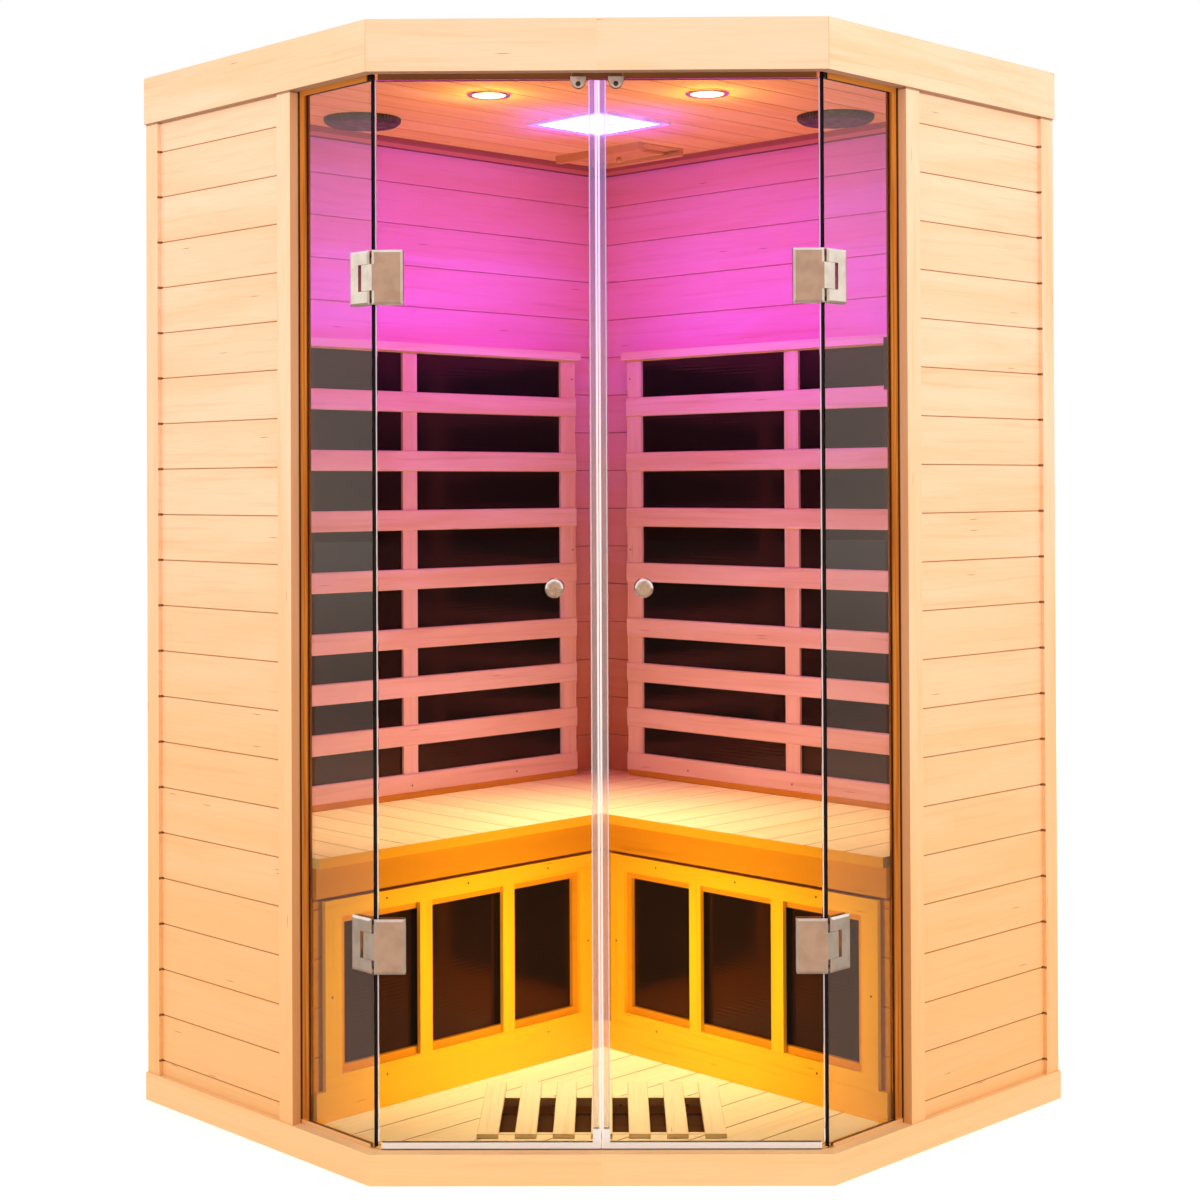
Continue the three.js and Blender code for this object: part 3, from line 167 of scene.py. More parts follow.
class Finish:
    """A material whose nodes are put together in plain steps."""

    def __init__(self, name):
        self.material = bpy.data.materials.new(name)
        self.material.use_nodes = True
        self.tree = self.material.node_tree
        self.tree.nodes.clear()
        self.shader = self.node("ShaderNodeBsdfPrincipled")
        output = self.node("ShaderNodeOutputMaterial")
        self.tree.links.new(self.shader.outputs[0], output.inputs[0])
        place = self.node("ShaderNodeTexCoord").outputs["Object"]
        self.place = place
        parts = self.node("ShaderNodeSeparateXYZ")
        self.feed(parts.inputs[0], place)
        x, y, z = parts.outputs
        across = self.math("ABSOLUTE", x)
        inward = self.math("MULTIPLY_ADD", y, -DIAGONAL, DIAGONAL * BACK_CORNER)
        self.right = self.math("GREATER_THAN", x, 0.0)
        self.axes = {
            "x": x,
            "y": y,
            "z": z,
            "s": self.math("MULTIPLY_ADD", across, DIAGONAL, inward),
            "t": self.math("MULTIPLY_ADD", across, -DIAGONAL, inward),
            "left s": self.math("MULTIPLY_ADD", x, -DIAGONAL, inward),
            "left t": self.math("MULTIPLY_ADD", x, DIAGONAL, inward),
        }

    def node(self, kind, **settings):
        made = self.tree.nodes.new(kind)
        for key, value in settings.items():
            setattr(made, key, value)
        return made

    def feed(self, socket, value):
        """Links an output to an input, or sets a plain value on it."""
        if isinstance(value, bpy.types.NodeSocket):
            self.tree.links.new(value, socket)
        else:
            socket.default_value = value

    def set(self, **values):
        """Sets or links the shader's own sockets, named with underscores for spaces."""
        for name, value in values.items():
            self.feed(self.shader.inputs[name.replace("_", " ")], value)

    def math(self, operation, *values):
        made = self.node("ShaderNodeMath", operation=operation)
        for socket, value in zip(made.inputs, values):
            self.feed(socket, value)
        return made.outputs[0]

    def vector(self, *parts):
        made = self.node("ShaderNodeCombineXYZ")
        for socket, value in zip(made.inputs, parts):
            self.feed(socket, value)
        return made.outputs[0]

    def noise(self, vector, scale=1.0, detail=2.0, distortion=0.0):
        made = self.node("ShaderNodeTexNoise")
        for name, value in (("Vector", vector), ("Scale", scale), ("Detail", detail), ("Distortion", distortion)):
            self.feed(made.inputs[name], value)
        return made.outputs[0]

    def chance(self, number):
        """A random number from 0 to 1 for each whole number."""
        made = self.node("ShaderNodeTexWhiteNoise", noise_dimensions="1D")
        self.feed(made.inputs["W"], number)
        return made.outputs["Value"]

    def fade(self, value, low, high, start=0.0, end=1.0):
        """A smooth step from start at low to end at high."""
        made = self.node("ShaderNodeMapRange", interpolation_type="SMOOTHSTEP")
        for socket, number in zip(made.inputs, (value, low, high, start, end)):
            self.feed(socket, number)
        return made.outputs[0]

    def mix(self, share, first, second):
        made = self.node("ShaderNodeMix", data_type="RGBA")
        for place, value in ((0, share), (6, first), (7, second)):
            self.feed(made.inputs[place], value)
        return made.outputs[2]

    def tint(self, share, shade, filter_tone):
        """A shade seen through a coloured stain, by share."""
        made = self.node("ShaderNodeMix", data_type="RGBA", blend_type="MULTIPLY")
        for place, value in ((0, share), (6, shade), (7, filter_tone)):
            self.feed(made.inputs[place], value)
        return made.outputs[2]

    def blend(self, share, first, second):
        """A plain number between two, by share."""
        made = self.node("ShaderNodeMix", data_type="FLOAT")
        for place, value in ((0, share), (2, first), (3, second)):
            self.feed(made.inputs[place], value)
        return made.outputs[0]

    def within(self, axis, low, high):
        """One inside a range of an axis, and nought outside it."""
        above = self.math("GREATER_THAN", self.axes[axis], low)
        return self.math("MULTIPLY", above, self.math("LESS_THAN", self.axes[axis], high))

    def bump(self, height, strength, depth):
        made = self.node("ShaderNodeBump")
        for name, value in (("Strength", strength), ("Distance", depth), ("Height", height)):
            self.feed(made.inputs[name], value)
        self.feed(self.shader.inputs["Normal"], made.outputs[0])


# Tones of one softwood. The foot tones are painted shade: the outer boards grow darker and warmer towards the floor.
OUTER = {
    "pale": "F3CCAC", "honey": "EFC098", "foot": "E6AA58", "dark": "D39C68", "fleck": "7A4520", "joint": "9A6434",
}
BAND = {**OUTER, "foot": "EDBC7A"}
# Painted shade: a darker, warmer copy of the band tones for the front face of the fascia.
FRONT_SHADED = {**BAND, "pale": "E7C1A3", "honey": "E3B690"}
# Painted light: a deeper, more saturated copy for the inside, standing in for warm light bounced between its boards.
INNER_BOUNCE_LIT = {
    "pale": "EFC795", "honey": "E5B174", "foot": "EFC795", "dark": "C58647", "fleck": "74401A", "joint": "6E3C14",
}
# Painted light: paler copies for the floor, the foot grille and the seats, standing in for the spotlights' bright pool.
SPOT_LIT = {
    "pale": "F8E6C0", "honey": "EFD5A0", "foot": "F5DFB4", "dark": "D6AC70", "fleck": "8A5A2A", "joint": "8A5A22",
}
SEAT_SPOT_LIT = {**SPOT_LIT, "pale": "F6D6AA", "honey": "EBC28A", "foot": "F2CE9C"}
# Painted light: an amber copy for the heater frames and the seats' front edges, standing in for the amber glow low
# down.
AMBER_LIT = {
    "pale": "F0B936", "honey": "E7A524", "foot": "F0B936", "dark": "C27A14", "fleck": "6E3A12", "joint": "6E3C14",
}
# Painted shade and light: a darker amber copy for the bench fronts and the bead, shaded under the seat in amber light.
RAIL_SHADED = {**AMBER_LIT, "pale": "D6911F", "honey": "CB8414", "foot": "D6911F", "dark": "AB680C"}
STAINED = {
    "pale": "A66A34", "honey": "965A26", "foot": "A66A34", "dark": "784616", "fleck": "4A280E", "joint": "4A280E",
}
CEILED = {**INNER_BOUNCE_LIT, "joint": "A06A38"}
STAIN = "C67A2C"


def wood(name, tones, along, across, through, boards=None, standing=(), edge=None, inside=None, patches=(), joint=1.0,
         notches=None):
    """Planed softwood: soft figure, streaks and fibres drawn out along the grain, short dark flecks, a tone of its own
    for each board and a brown line at each joint. Towards the floor the wood fades to its foot tone, painted shade
    where that tone is darker. Inside the standing ranges the grain runs upright. Past the edge the joints end and the
    face takes painted amber light, past the inside range the wood takes a painted rose tint for the cabin's violet
    light and fainter joints, in the notch range the joints end in dark notches of painted shadow, and each patch lays
    its colour over the wood in the given ranges, painted shade in most of them."""
    made = Finish(name)
    axes = made.axes
    upright = None
    for axis, low, high in standing:
        within = made.within(axis, low, high)
        upright = within if upright is None else made.math("MAXIMUM", upright, within)
    grain, width = axes[along], axes[across]
    if upright is not None:
        grain, width = made.blend(upright, grain, axes["z"]), made.blend(upright, width, axes[along])
    half = made.math("MULTIPLY", made.right, 41.0)
    line = None
    if boards:
        axis, first, pitch = boards
        count = made.math("MULTIPLY_ADD", axes[axis], 1 / pitch, -first / pitch)
        number = made.math("ADD", made.math("FLOOR", count), half)
        place = made.math("FRACT", made.math("ADD", count, 0.5))
        off_joint = made.math("ABSOLUTE", made.math("SUBTRACT", place, 0.5))
        line = made.fade(off_joint, 0.006 * joint, 0.014 * joint, 0.9, 0.0)
        if upright is not None:
            stood = made.math("SUBTRACT", 1.0, upright)
            number = made.blend(upright, number, made.math("ADD", half, 0.3))
            line = made.math("MULTIPLY", line, stood)
    else:
        number = made.math("ADD", half, 0.7)
    if edge is not None:
        amber_lit_edge = made.math("GREATER_THAN", axes[edge[0]], edge[1])
        line = made.math("MULTIPLY", line, made.math("SUBTRACT", 1.0, amber_lit_edge))
    luck = made.chance(number)
    run = made.math("MULTIPLY_ADD", luck, 9.0, grain)
    depth = made.math("MULTIPLY_ADD", luck, 3.0, axes[through])

    def drawn(lengthways, crossways):
        flat = made.math("MULTIPLY", width, crossways)
        deep = made.math("MULTIPLY", depth, crossways)
        return made.vector(made.math("MULTIPLY", run, lengthways), flat, deep)

    figure = made.noise(drawn(1.7, 16.0), detail=3.0, distortion=0.6)
    streak = made.noise(drawn(3.2, 95.0), detail=3.0, distortion=0.3)
    fibre = made.noise(drawn(16.0, 620.0), detail=2.0)
    spots = made.node("ShaderNodeTexVoronoi", voronoi_dimensions="2D")
    made.feed(spots.inputs["Vector"], drawn(9.0, 190.0))
    made.feed(spots.inputs["Scale"], 1.0)
    kept = made.node("ShaderNodeSeparateColor")
    made.feed(kept.inputs[0], spots.outputs["Color"])
    fleck = made.math("MULTIPLY", made.math("LESS_THAN", kept.outputs[0], 0.012),
                      made.fade(spots.outputs["Distance"], 0.03, 0.18, 0.75, 0.0))
    tone = {key: colour(code) for key, code in tones.items()}
    shade = made.mix(made.fade(figure, 0.36, 0.68), tone["pale"], tone["honey"])
    shade = made.mix(made.math("MULTIPLY", luck, 0.42), shade, tone["honey"])
    # Painted shade: towards the floor each tone set fades to its foot tone, darker and warmer on the outer boards.
    shade = made.mix(made.fade(axes["z"], 0.0, 1.5, 0.7, 0.0), shade, tone["foot"])
    # Painted amber light on the face past the edge, where the joint lines end.
    if edge is not None:
        shade = made.mix(amber_lit_edge, shade, colour(AMBER_LIT["honey"]))
    shade = made.mix(made.fade(streak, 0.52, 0.78, 0.0, 0.32), shade, tone["dark"])
    shade = made.mix(made.fade(fibre, 0.45, 0.75, 0.0, 0.16), shade, tone["dark"])
    shade = made.mix(fleck, shade, tone["fleck"])
    # Painted light: past the inside range the wood takes a rose tint for the cabin's violet light, and its joint lines
    # fade.
    if inside is not None:
        rose_lit = made.math("GREATER_THAN", axes[inside[0]], inside[1])
        shade = made.tint(rose_lit, shade, (1.0, 0.78, 0.92, 1.0))
        line = made.math("MULTIPLY", line, made.math("MULTIPLY_ADD", rose_lit, -0.35, 1.0))
    if line is not None:
        shade = made.mix(line, shade, tone["joint"])
    # Painted shadow: dark notches where the joints end, in the notch range.
    if notches is not None:
        notch_shade = made.math("MULTIPLY", made.fade(off_joint, 0.020, 0.034, 0.85, 0.0), made.within(*notches))
        shade = made.mix(notch_shade, shade, tone["fleck"])
    for share, code, ranges in patches:
        covered = share
        for each in ranges:
            covered = made.math("MULTIPLY", covered, made.within(*each))
        shade = made.mix(covered, shade, colour(code))
    relief = made.math("ADD", made.math("MULTIPLY", fibre, 0.5), made.math("MULTIPLY", streak, 0.5))
    made.set(Base_Color=shade, Roughness=made.fade(streak, 0.3, 0.8, 0.46, 0.62), Specular_IOR_Level=0.3)
    made.bump(relief, 0.22, 0.0006)
    return made.material


def clear_glass(name, bend):
    """Toughened glass with a faint green tint, a little handling haze and a band of painted shade at its head."""
    made = Finish(name)
    haze = made.noise(made.place, scale=6.0, detail=4.0)
    # Painted shade: the top of the pane, up in the gap under the fascia, is dark brown.
    head = made.within("z", 1.8046, 2.0)
    made.set(Base_Color=made.mix(head, colour("F7FCF9"), colour("3A2A20")), Transmission_Weight=1.0, IOR=bend)
    made.set(Roughness=made.fade(haze, 0.45, 0.8, 0.0, 0.025))
    return made.material


def clear_seal():
    """Clear profile with fine lines drawn along its length, up the door and along its foot: milky at the nose in the
    middle, at the lips and along the foot, tinted lilac towards the head by painted violet light, with a dark wiping
    edge below."""
    made = Finish("clear_seal")
    x, z = made.axes["x"], made.axes["z"]
    low = made.within("z", 0.0, 0.085)
    drawn = made.blend(low, made.math("MULTIPLY", x, 700.0), made.math("MULTIPLY", z, 700.0))
    lines = made.noise(made.vector(drawn, 0.0, 0.0))
    wiper = made.within("z", 0.0, PLINTH + 0.0022)
    aside = made.math("ABSOLUTE", x)
    nose = made.fade(aside, 0.0030, 0.0046, 0.62, 0.0)
    lip = made.fade(aside, 0.0115, 0.0130, 0.0, 0.3)
    milky = made.math("MAXIMUM", made.math("MAXIMUM", nose, lip), made.math("MULTIPLY", low, 0.6))
    shade = made.mix(made.fade(lines, 0.4, 0.7), colour("FFFFFF"), colour("F4F1EE"))
    # Painted violet light: the seal turns lilac towards the head.
    shade = made.mix(made.fade(z, 1.1, 1.7, 0.0, 0.8), shade, colour("DCC8FF"))
    shade = made.mix(wiper, shade, colour("3A322C"))
    made.set(Base_Color=shade, Roughness=made.fade(lines, 0.3, 0.7, 0.06, 0.14))
    made.set(Transmission_Weight=made.math("SUBTRACT", 0.88, milky), IOR=1.1)
    return made.material


def brushed_metal(name, pale, deep, low, high, direction, metallic=1.0):
    """Metal with fine brushing along one axis, soft cloudy tone and a few hairline scratches."""
    made = Finish(name)
    stretch = [900.0, 900.0, 900.0]
    stretch["xyz".index(direction)] = 14.0
    parts = [made.math("MULTIPLY", made.axes[axis], scale) for axis, scale in zip("xyz", stretch)]
    brush = made.noise(made.vector(*parts), detail=3.0)
    cloud = made.noise(made.place, scale=38.0, detail=3.0)
    shade = made.mix(made.fade(cloud, 0.35, 0.7), colour(pale), colour(deep))
    shade = made.mix(made.fade(brush, 0.55, 0.8, 0.0, 0.3), shade, colour(deep))
    made.set(Base_Color=shade, Metallic=metallic, Roughness=made.fade(brush, 0.3, 0.75, low, high))
    made.bump(brush, 0.08, 0.0002)
    return made.material


def bright_chrome():
    """Polished plating with faint wipe marks."""
    made = Finish("chrome")
    wipe = made.noise(made.place, scale=70.0, detail=4.0, distortion=1.2)
    shade = made.mix(made.fade(wipe, 0.4, 0.75), colour("EDEBE8"), colour("CFCAC6"))
    made.set(Base_Color=shade, Metallic=1.0, Roughness=made.fade(wipe, 0.4, 0.8, 0.05, 0.16))
    return made.material


def carbon_heater(name, deep, rib_tone, dust_tone, gloss):
    """Dark glossy carbon sheet with fine level ribs and faint paler bands."""
    made = Finish(name)
    ribs = made.node("ShaderNodeTexWave", wave_type="BANDS", bands_direction="Z", wave_profile="SIN")
    made.feed(ribs.inputs["Vector"], made.place)
    made.feed(ribs.inputs["Scale"], 46.0)
    made.feed(ribs.inputs["Distortion"], 0.4)
    rib = ribs.outputs[0]
    dust = made.noise(made.place, scale=24.0, detail=5.0)
    shade = made.mix(made.fade(rib, 0.55, 1.0, 0.0, 0.5), colour(deep), colour(rib_tone))
    shade = made.mix(made.fade(dust, 0.5, 0.8, 0.0, 0.3), shade, colour(dust_tone))
    made.set(Base_Color=shade, Roughness=made.fade(dust, 0.3, 0.75, 0.07, 0.16), Specular_IOR_Level=0.42)
    made.set(Specular_Tint=(*gloss, 1.0))
    made.bump(rib, 0.12, 0.0004)
    return made.material


def brown_channel():
    """Stained timber channel whose grain runs up its post and along its head and sill, with a dark line of painted
    shadow in the gap along the wall and a pale sill."""
    made = Finish("brown_channel")
    axes = made.axes
    level = made.math("MAXIMUM", made.within("z", 0.0, 0.062), made.within("z", FASCIA_FOOT - 0.010, 2.0))
    scales = made.blend(level, 210.0, 4.0), made.blend(level, 4.0, 210.0)
    parts = [(axes["s"], 210.0), (axes["t"], scales[0]), (axes["z"], scales[1])]
    drawn = made.vector(*[made.math("MULTIPLY", *part) for part in parts])
    grain = made.noise(drawn, detail=4.0, distortion=0.4)
    shade = made.mix(made.fade(grain, 0.35, 0.7), colour(STAIN), colour("9A5214"))
    # Painted shadow in the gap along the wall.
    wall_gap_shade = made.within("t", WALL_END, WALL_END + 0.0034)
    shade = made.mix(wall_gap_shade, shade, colour("2A120A"))
    shade = made.mix(made.within("z", 0.0, PLINTH + 0.0072), shade, colour("E4B27A"))
    made.set(Base_Color=shade, Roughness=made.fade(grain, 0.3, 0.7, 0.4, 0.58), Specular_IOR_Level=0.15)
    made.bump(grain, 0.15, 0.0004)
    return made.material


def speaker_grey():
    """Dark moulded grille with a close pattern of small round holes."""
    made = Finish("speaker_grey")
    holes = made.node("ShaderNodeTexVoronoi", voronoi_dimensions="2D")
    made.feed(holes.inputs["Vector"], made.vector(made.axes["x"], made.axes["y"], 0.0))
    made.feed(holes.inputs["Scale"], 190.0)
    made.feed(holes.inputs["Randomness"], 0.15)
    hole = made.fade(holes.outputs["Distance"], 0.26, 0.36, 1.0, 0.0)
    dust = made.noise(made.place, scale=60.0, detail=3.0)
    shade = made.mix(made.fade(dust, 0.35, 0.7), colour("4B474B"), colour("39363A"))
    shade = made.mix(hole, shade, colour("151315"))
    made.set(Base_Color=shade, Roughness=made.fade(dust, 0.3, 0.7, 0.42, 0.6))
    made.bump(made.math("SUBTRACT", 1.0, hole), 0.5, 0.0008)
    return made.material


def moulded_plastic(name, pale, deep, low, high):
    """Moulded plastic with a fine grained skin and slight handling shine."""
    made = Finish(name)
    skin = made.noise(made.place, scale=900.0, detail=2.0)
    wear = made.noise(made.place, scale=28.0, detail=4.0)
    made.set(Base_Color=made.mix(made.fade(wear, 0.35, 0.7), colour(pale), colour(deep)))
    made.set(Roughness=made.fade(wear, 0.3, 0.75, low, high))
    made.bump(skin, 0.12, 0.0002)
    return made.material


def lit_sheet(name, middle, rim, near, far, strength, axes, centre):
    """A glowing sheet that is white in its middle and takes its own tint towards the rim. The way from its centre is
    the length of the two offsets when they are x and y, and otherwise the larger of them."""
    made = Finish(name)
    offsets = [made.math("SUBTRACT", made.axes[axis], place) for axis, place in zip(axes, centre)]
    if axes == ("x", "y"):
        square = made.math("MULTIPLY", offsets[0], offsets[0])
        way = made.math("SQRT", made.math("MULTIPLY_ADD", offsets[1], offsets[1], square))
    else:
        way = made.math("MAXIMUM", *[made.math("ABSOLUTE", offset) for offset in offsets])
    haze = made.noise(made.place, scale=90.0, detail=2.0)
    spread = made.math("MULTIPLY_ADD", haze, 0.1 * (far - near), way)
    glow = made.mix(made.fade(spread, near, far), colour(middle), colour(rim))
    made.set(Base_Color=glow, Roughness=0.4, Emission_Color=glow, Emission_Strength=strength)
    return made.material


# Colour of painted shade, laid in gaps, hollows and on the undersides of the fascias.
SHADOW = "6E3C14"
under_fascia = (0.6, SHADOW, [("z", 0.0, FASCIA_FOOT + 0.0004)])
# Side boards: painted shadow in notches at the joint ends, painted shade on the wall's end face and in the gap beside
# the channel, and painted shadow under the fascia.
side_boards = wood(
    "side_boards", OUTER, "t", "z", "s", ("z", FIRST_JOINT, BOARD),
    [("t", -1.0, 0.0405), ("t", WALL_END - STILE, 1.0)], joint=0.8, notches=("t", 0.0400, 0.0460),
    patches=[
        (0.4, STAIN, [("t", WALL_END - 0.0006, 1.0)]),
        (0.8, "4A2008", [("t", WALL_END - 0.0006, 1.0), ("s", 1.1775, 1.1806)]),
        (0.6, SHADOW, [("z", FASCIA_FOOT - 0.0035, FASCIA_FOOT + 0.001)]),
    ],
)
# Back boards: painted rose tint for the violet light inside, painted shade in the cornice's hollow and along its foot.
back_boards = wood(
    "back_boards", OUTER, "s", "z", "t", ("z", FIRST_JOINT, BOARD), [("s", -1.0, WALL_DEPTH)], inside=("t", 0.024),
    patches=[
        (0.85, "CC8748", [("z", CEILING - CORNICE, 2.0), ("t", WALL_DEPTH + 0.001, 0.2)]),
        (0.5, SHADOW, [("z", CEILING - 0.011, 2.0), ("t", WALL_DEPTH + 0.001, 0.2)]),
        (0.8, SHADOW, [("z", CEILING - CORNICE - 0.001, CEILING - CORNICE + 0.001), ("t", 0.024, 0.2)]),
    ],
)
plinth_band = wood("plinth_band", BAND, "x", "z", "z")
front_band = wood("front_band", FRONT_SHADED, "x", "z", "y", patches=[under_fascia])
side_band = wood("side_band", BAND, "t", "z", "s", patches=[under_fascia])
back_band = wood("back_band", BAND, "s", "z", "t")
roof_sheet = wood("roof_sheet", BAND, "left s", "left t", "z")
deck_joints = ("left t", DECK_JOINT, BOARD)
floor_boards = wood("floor_boards", SPOT_LIT, "left s", "left t", "z", deck_joints, joint=1.7)
ceiling_boards = wood("ceiling_boards", CEILED, "left s", "left t", "z", deck_joints, joint=1.8)
seat_edge = ("t", BENCH_EDGE - 0.0005)
seat_boards = {}
for half, joint in SEAT_JOINTS.items():
    seat_boards[half] = wood(
        f"{half}_seat_boards", SEAT_SPOT_LIT, "t", "s", "z", ("s", joint, BOARD), edge=seat_edge, joint=1.7,
    )
behind_frame = ("t", 0.0, RAIL_FRONT - 0.006)
# Bench fronts: painted shade in the groove under the rail and in the recess past the end of the heater frame.
bench_boards = wood(
    "bench_boards", RAIL_SHADED, "s", "z", "t",
    patches=[
        (0.8, SHADOW, [behind_frame, ("z", 0.4279, 0.4341)]),
        (0.3, SHADOW, [behind_frame, ("s", FRAME_SPAN[1] - 0.0005, SIDE - WALL_DEPTH + 0.001)]),
    ],
)
frame_timber = wood("frame_timber", AMBER_LIT, "s", "z", "t", None, [("z", *FRAME_OPENING)])
slat_timber = wood("slat_timber", INNER_BOUNCE_LIT, "s", "z", "t", None, [("t", -1.0, UPRIGHT_FRONT + 0.0006)])
bead_timber = wood("bead_timber", RAIL_SHADED, "s", "z", "t")
head_timber = wood("head_timber", STAINED, "x", "z", "y")
foot_slat_timber = wood("foot_slat_timber", SPOT_LIT, "y", "x", "z")
vent_timber = wood("vent_timber", CEILED, "left t", "left s", "z", patches=[(0.3, "8A4A22", [("z", 0.0, 2.0)])])
side_glass = clear_glass("side_glass", 1.52)
door_glass = clear_glass("door_glass", 1.15)
seal = clear_seal()
channel = brown_channel()
nickel = brushed_metal("satin_nickel", "F0EAE4", "DFD7D0", 0.3, 0.42, "z")
clip_nickel = brushed_metal("clip_nickel", "C9B9B0", "968880", 0.3, 0.45, "x", metallic=0.4)
pin_steel = brushed_metal("pin_steel", "6A625E", "4C4642", 0.35, 0.5, "z")
steel = brushed_metal("steel", "C9C7C4", "9B9894", 0.25, 0.4, "z")
tinned = brushed_metal("box_steel", "B9BBBD", "8E9194", 0.35, 0.55, "x")
brads = brushed_metal("brads", "8A6A46", "4E3519", 0.4, 0.6, "z")
chrome = bright_chrome()
heater = carbon_heater("heater_black", "140909", "22130F", "281813", (1.0, 0.4, 0.36))
low_heater = carbon_heater("low_heater_black", "140702", "200E04", "281408", (1.0, 0.3, 0.08))
foot_heater = carbon_heater("foot_heater_brown", "4A2810", "6B3C18", "7E4C22", (1.0, 0.6, 0.3))
speaker = speaker_grey()
dark_plastic = moulded_plastic("dark_plastic", "26262A", "17171A", 0.32, 0.5)
black_seal = moulded_plastic("black_seal", "151012", "0A0708", 0.35, 0.55)
key_plastic = moulded_plastic("key_plastic", "C9C9C4", "A9A9A5", 0.35, 0.5)
lamp_white = moulded_plastic("light_white", "F4F1F2", "DDD8DC", 0.3, 0.45)

for name, finish in {
    "base_platform": plinth_band,
    "floor_deck": floor_boards,
    "foot_heater": foot_heater,
    "foot_grille": foot_slat_timber,
    "ceiling_panel": ceiling_boards,
    "roof_cover": roof_sheet,
    "fascia_front": front_band,
    "fascia_back": back_band,
    "light_panel": lamp_white,
    "vent_frame": vent_timber,
    "vent_slide": vent_timber,
    "power_box": tinned,
    "door_catch": head_timber,
    "control_panel": dark_plastic,
    "left_bench_seat": seat_boards["left"],
    "right_bench_seat": seat_boards["right"],
}.items():
    nodes[name].data.materials[0] = finish

for half in HALVES:
    for name, finish in {
        "back_wall": back_boards,
        "side_wall": side_boards,
        "fascia": side_band,
        "fixed_glass": side_glass,
        "glass_channel": channel,
        "door_glass": door_glass,
        "door_seal": seal,
        "knob": chrome,
        "strike_clip": clip_nickel,
        "bench_front": bench_boards,
        "heater_frame": frame_timber,
        "low_heater": low_heater,
        "backrest_grille": slat_timber,
        "back_heater": heater,
        "spotlight": chrome,
        "speaker": speaker,
        "lower_hinge_fixed_leaf": nickel,
        "lower_hinge_door_leaf": nickel,
        "lower_hinge_pin": pin_steel,
        "upper_hinge_fixed_leaf": nickel,
        "upper_hinge_door_leaf": nickel,
        "upper_hinge_pin": pin_steel,
    }.items():
        nodes[f"{half}_{name}"].data.materials[0] = finish


# Trim on the glass

def between_hinges(foot, head):
    """Upright runs of a pane's edge that the hinge notches leave."""
    stops = [foot]
    for level in HINGE_LEVELS:
        stops += [level - HINGE_CUT, level + HINGE_CUT]
    return list(zip([*stops, head][::2], [*stops, head][1::2]))


def edge_seal(half):
    """Black strip on the edge of the fixed glass: a thin section carried up each run of the edge."""
    near, far = BEND_SIDE - PANE_EDGE + 0.0001, BEND_SIDE - PANE_EDGE + 0.0009
    s = SIDE - np.array([0.0316, 0.0264, 0.0264, 0.0316])
    t = np.array([near, near, far, far])
    section = in_cabin(s, t, 0.0, HALVES[half])
    lofts = [carried(section, [(0, 0, foot), (0, 0, head)]) for foot, head in between_hinges(0.0545, 1.8135)]
    return piece(f"{half}_edge_seal", lofts, black_seal, "cabin")


def bend_seal(half):
    """Clear nose on the hinged edge of the door: a blunt section carried up each run of the edge."""
    out = np.array([0.0009, 0.0015, 0.0033, 0.0033, 0.0015, 0.0009])
    deep = np.array([0.0265, 0.0247, 0.0242, 0.0318, 0.0313, 0.0295])
    x = HALVES[half] * (BEND_FRONT - out)
    section = np.stack([x, deep - BACK_CORNER, np.zeros(6)], axis=-1)
    lofts = [carried(section, [(0, 0, foot), (0, 0, head)]) for foot, head in between_hinges(0.064, 1.804)]
    return piece(f"{half}_bend_seal", lofts, seal, f"{half}_door")


def door_knob(half):
    """Knob on both faces of the door: a round profile with a waisted neck and a crowned cap, turned about the spindle."""
    base, tip = 0.0043, 0.028
    crown = np.linspace(0, 1, 9)
    cap = np.stack([0.0155 * np.cos(crown * 1.45), base + 0.0185 + (tip - base - 0.0185) * np.sin(crown * 1.5708)], -1)
    neck = [(0.009, base), (0.009, base + 0.0024), (0.0078, base + 0.0034), (0.0065, base + 0.0055)]
    neck += [(0.0065, base + 0.0092), (0.0085, base + 0.0107), (0.0125, base + 0.0122), (0.0149, base + 0.0145)]
    half_profile = np.concatenate([[(0.004, base)], neck, cap])
    profile = np.concatenate([half_profile[::-1] * (1, -1), half_profile])
    centre = (HALVES[half] * KNOB_SETBACK, 0.028 - BACK_CORNER, KNOB_LEVEL)
    lofts = [turned_on(profile, 48, centre, (1, 0, 0), (0, 0, 1), (0, -1, 0))]
    made = piece(f"{half}_door_knob", lofts, chrome, f"{half}_door", smooth=40)
    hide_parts(f"{half}_knob")
    return made


# Thin timber trim

def head_strip(half):
    """Brown strip behind the front fascia over one door: an angle section carried from the catch to the bend."""
    deep = np.array([0.0213, 0.0213, 0.0345, 0.0345, 0.0445, 0.0445])
    z = np.array([1.826, 1.8165, 1.8165, 1.8058, 1.8058, 1.826])
    section = np.stack([np.zeros(6), deep - BACK_CORNER, z], axis=-1)
    ends = [(HALVES[half] * x, 0.0, 0.0) for x in (0.0426, 0.362)]
    return piece(f"{half}_head_strip", [carried(section, ends)], head_timber, "cabin")


def catch_rail():
    """Brown rail between the two magnets of the door catch, below its arm: a plain box section."""
    deep = np.array([0.0375, 0.0375, 0.0445, 0.0445])
    z = np.array([1.8171, 1.8058, 1.8058, 1.8171])
    section = np.stack([np.zeros(4), deep - BACK_CORNER, z], axis=-1)
    ends = [(x, 0.0, 0.0) for x in (-0.0197, 0.0197)]
    return piece("catch_rail", [carried(section, ends)], head_timber, "cabin")


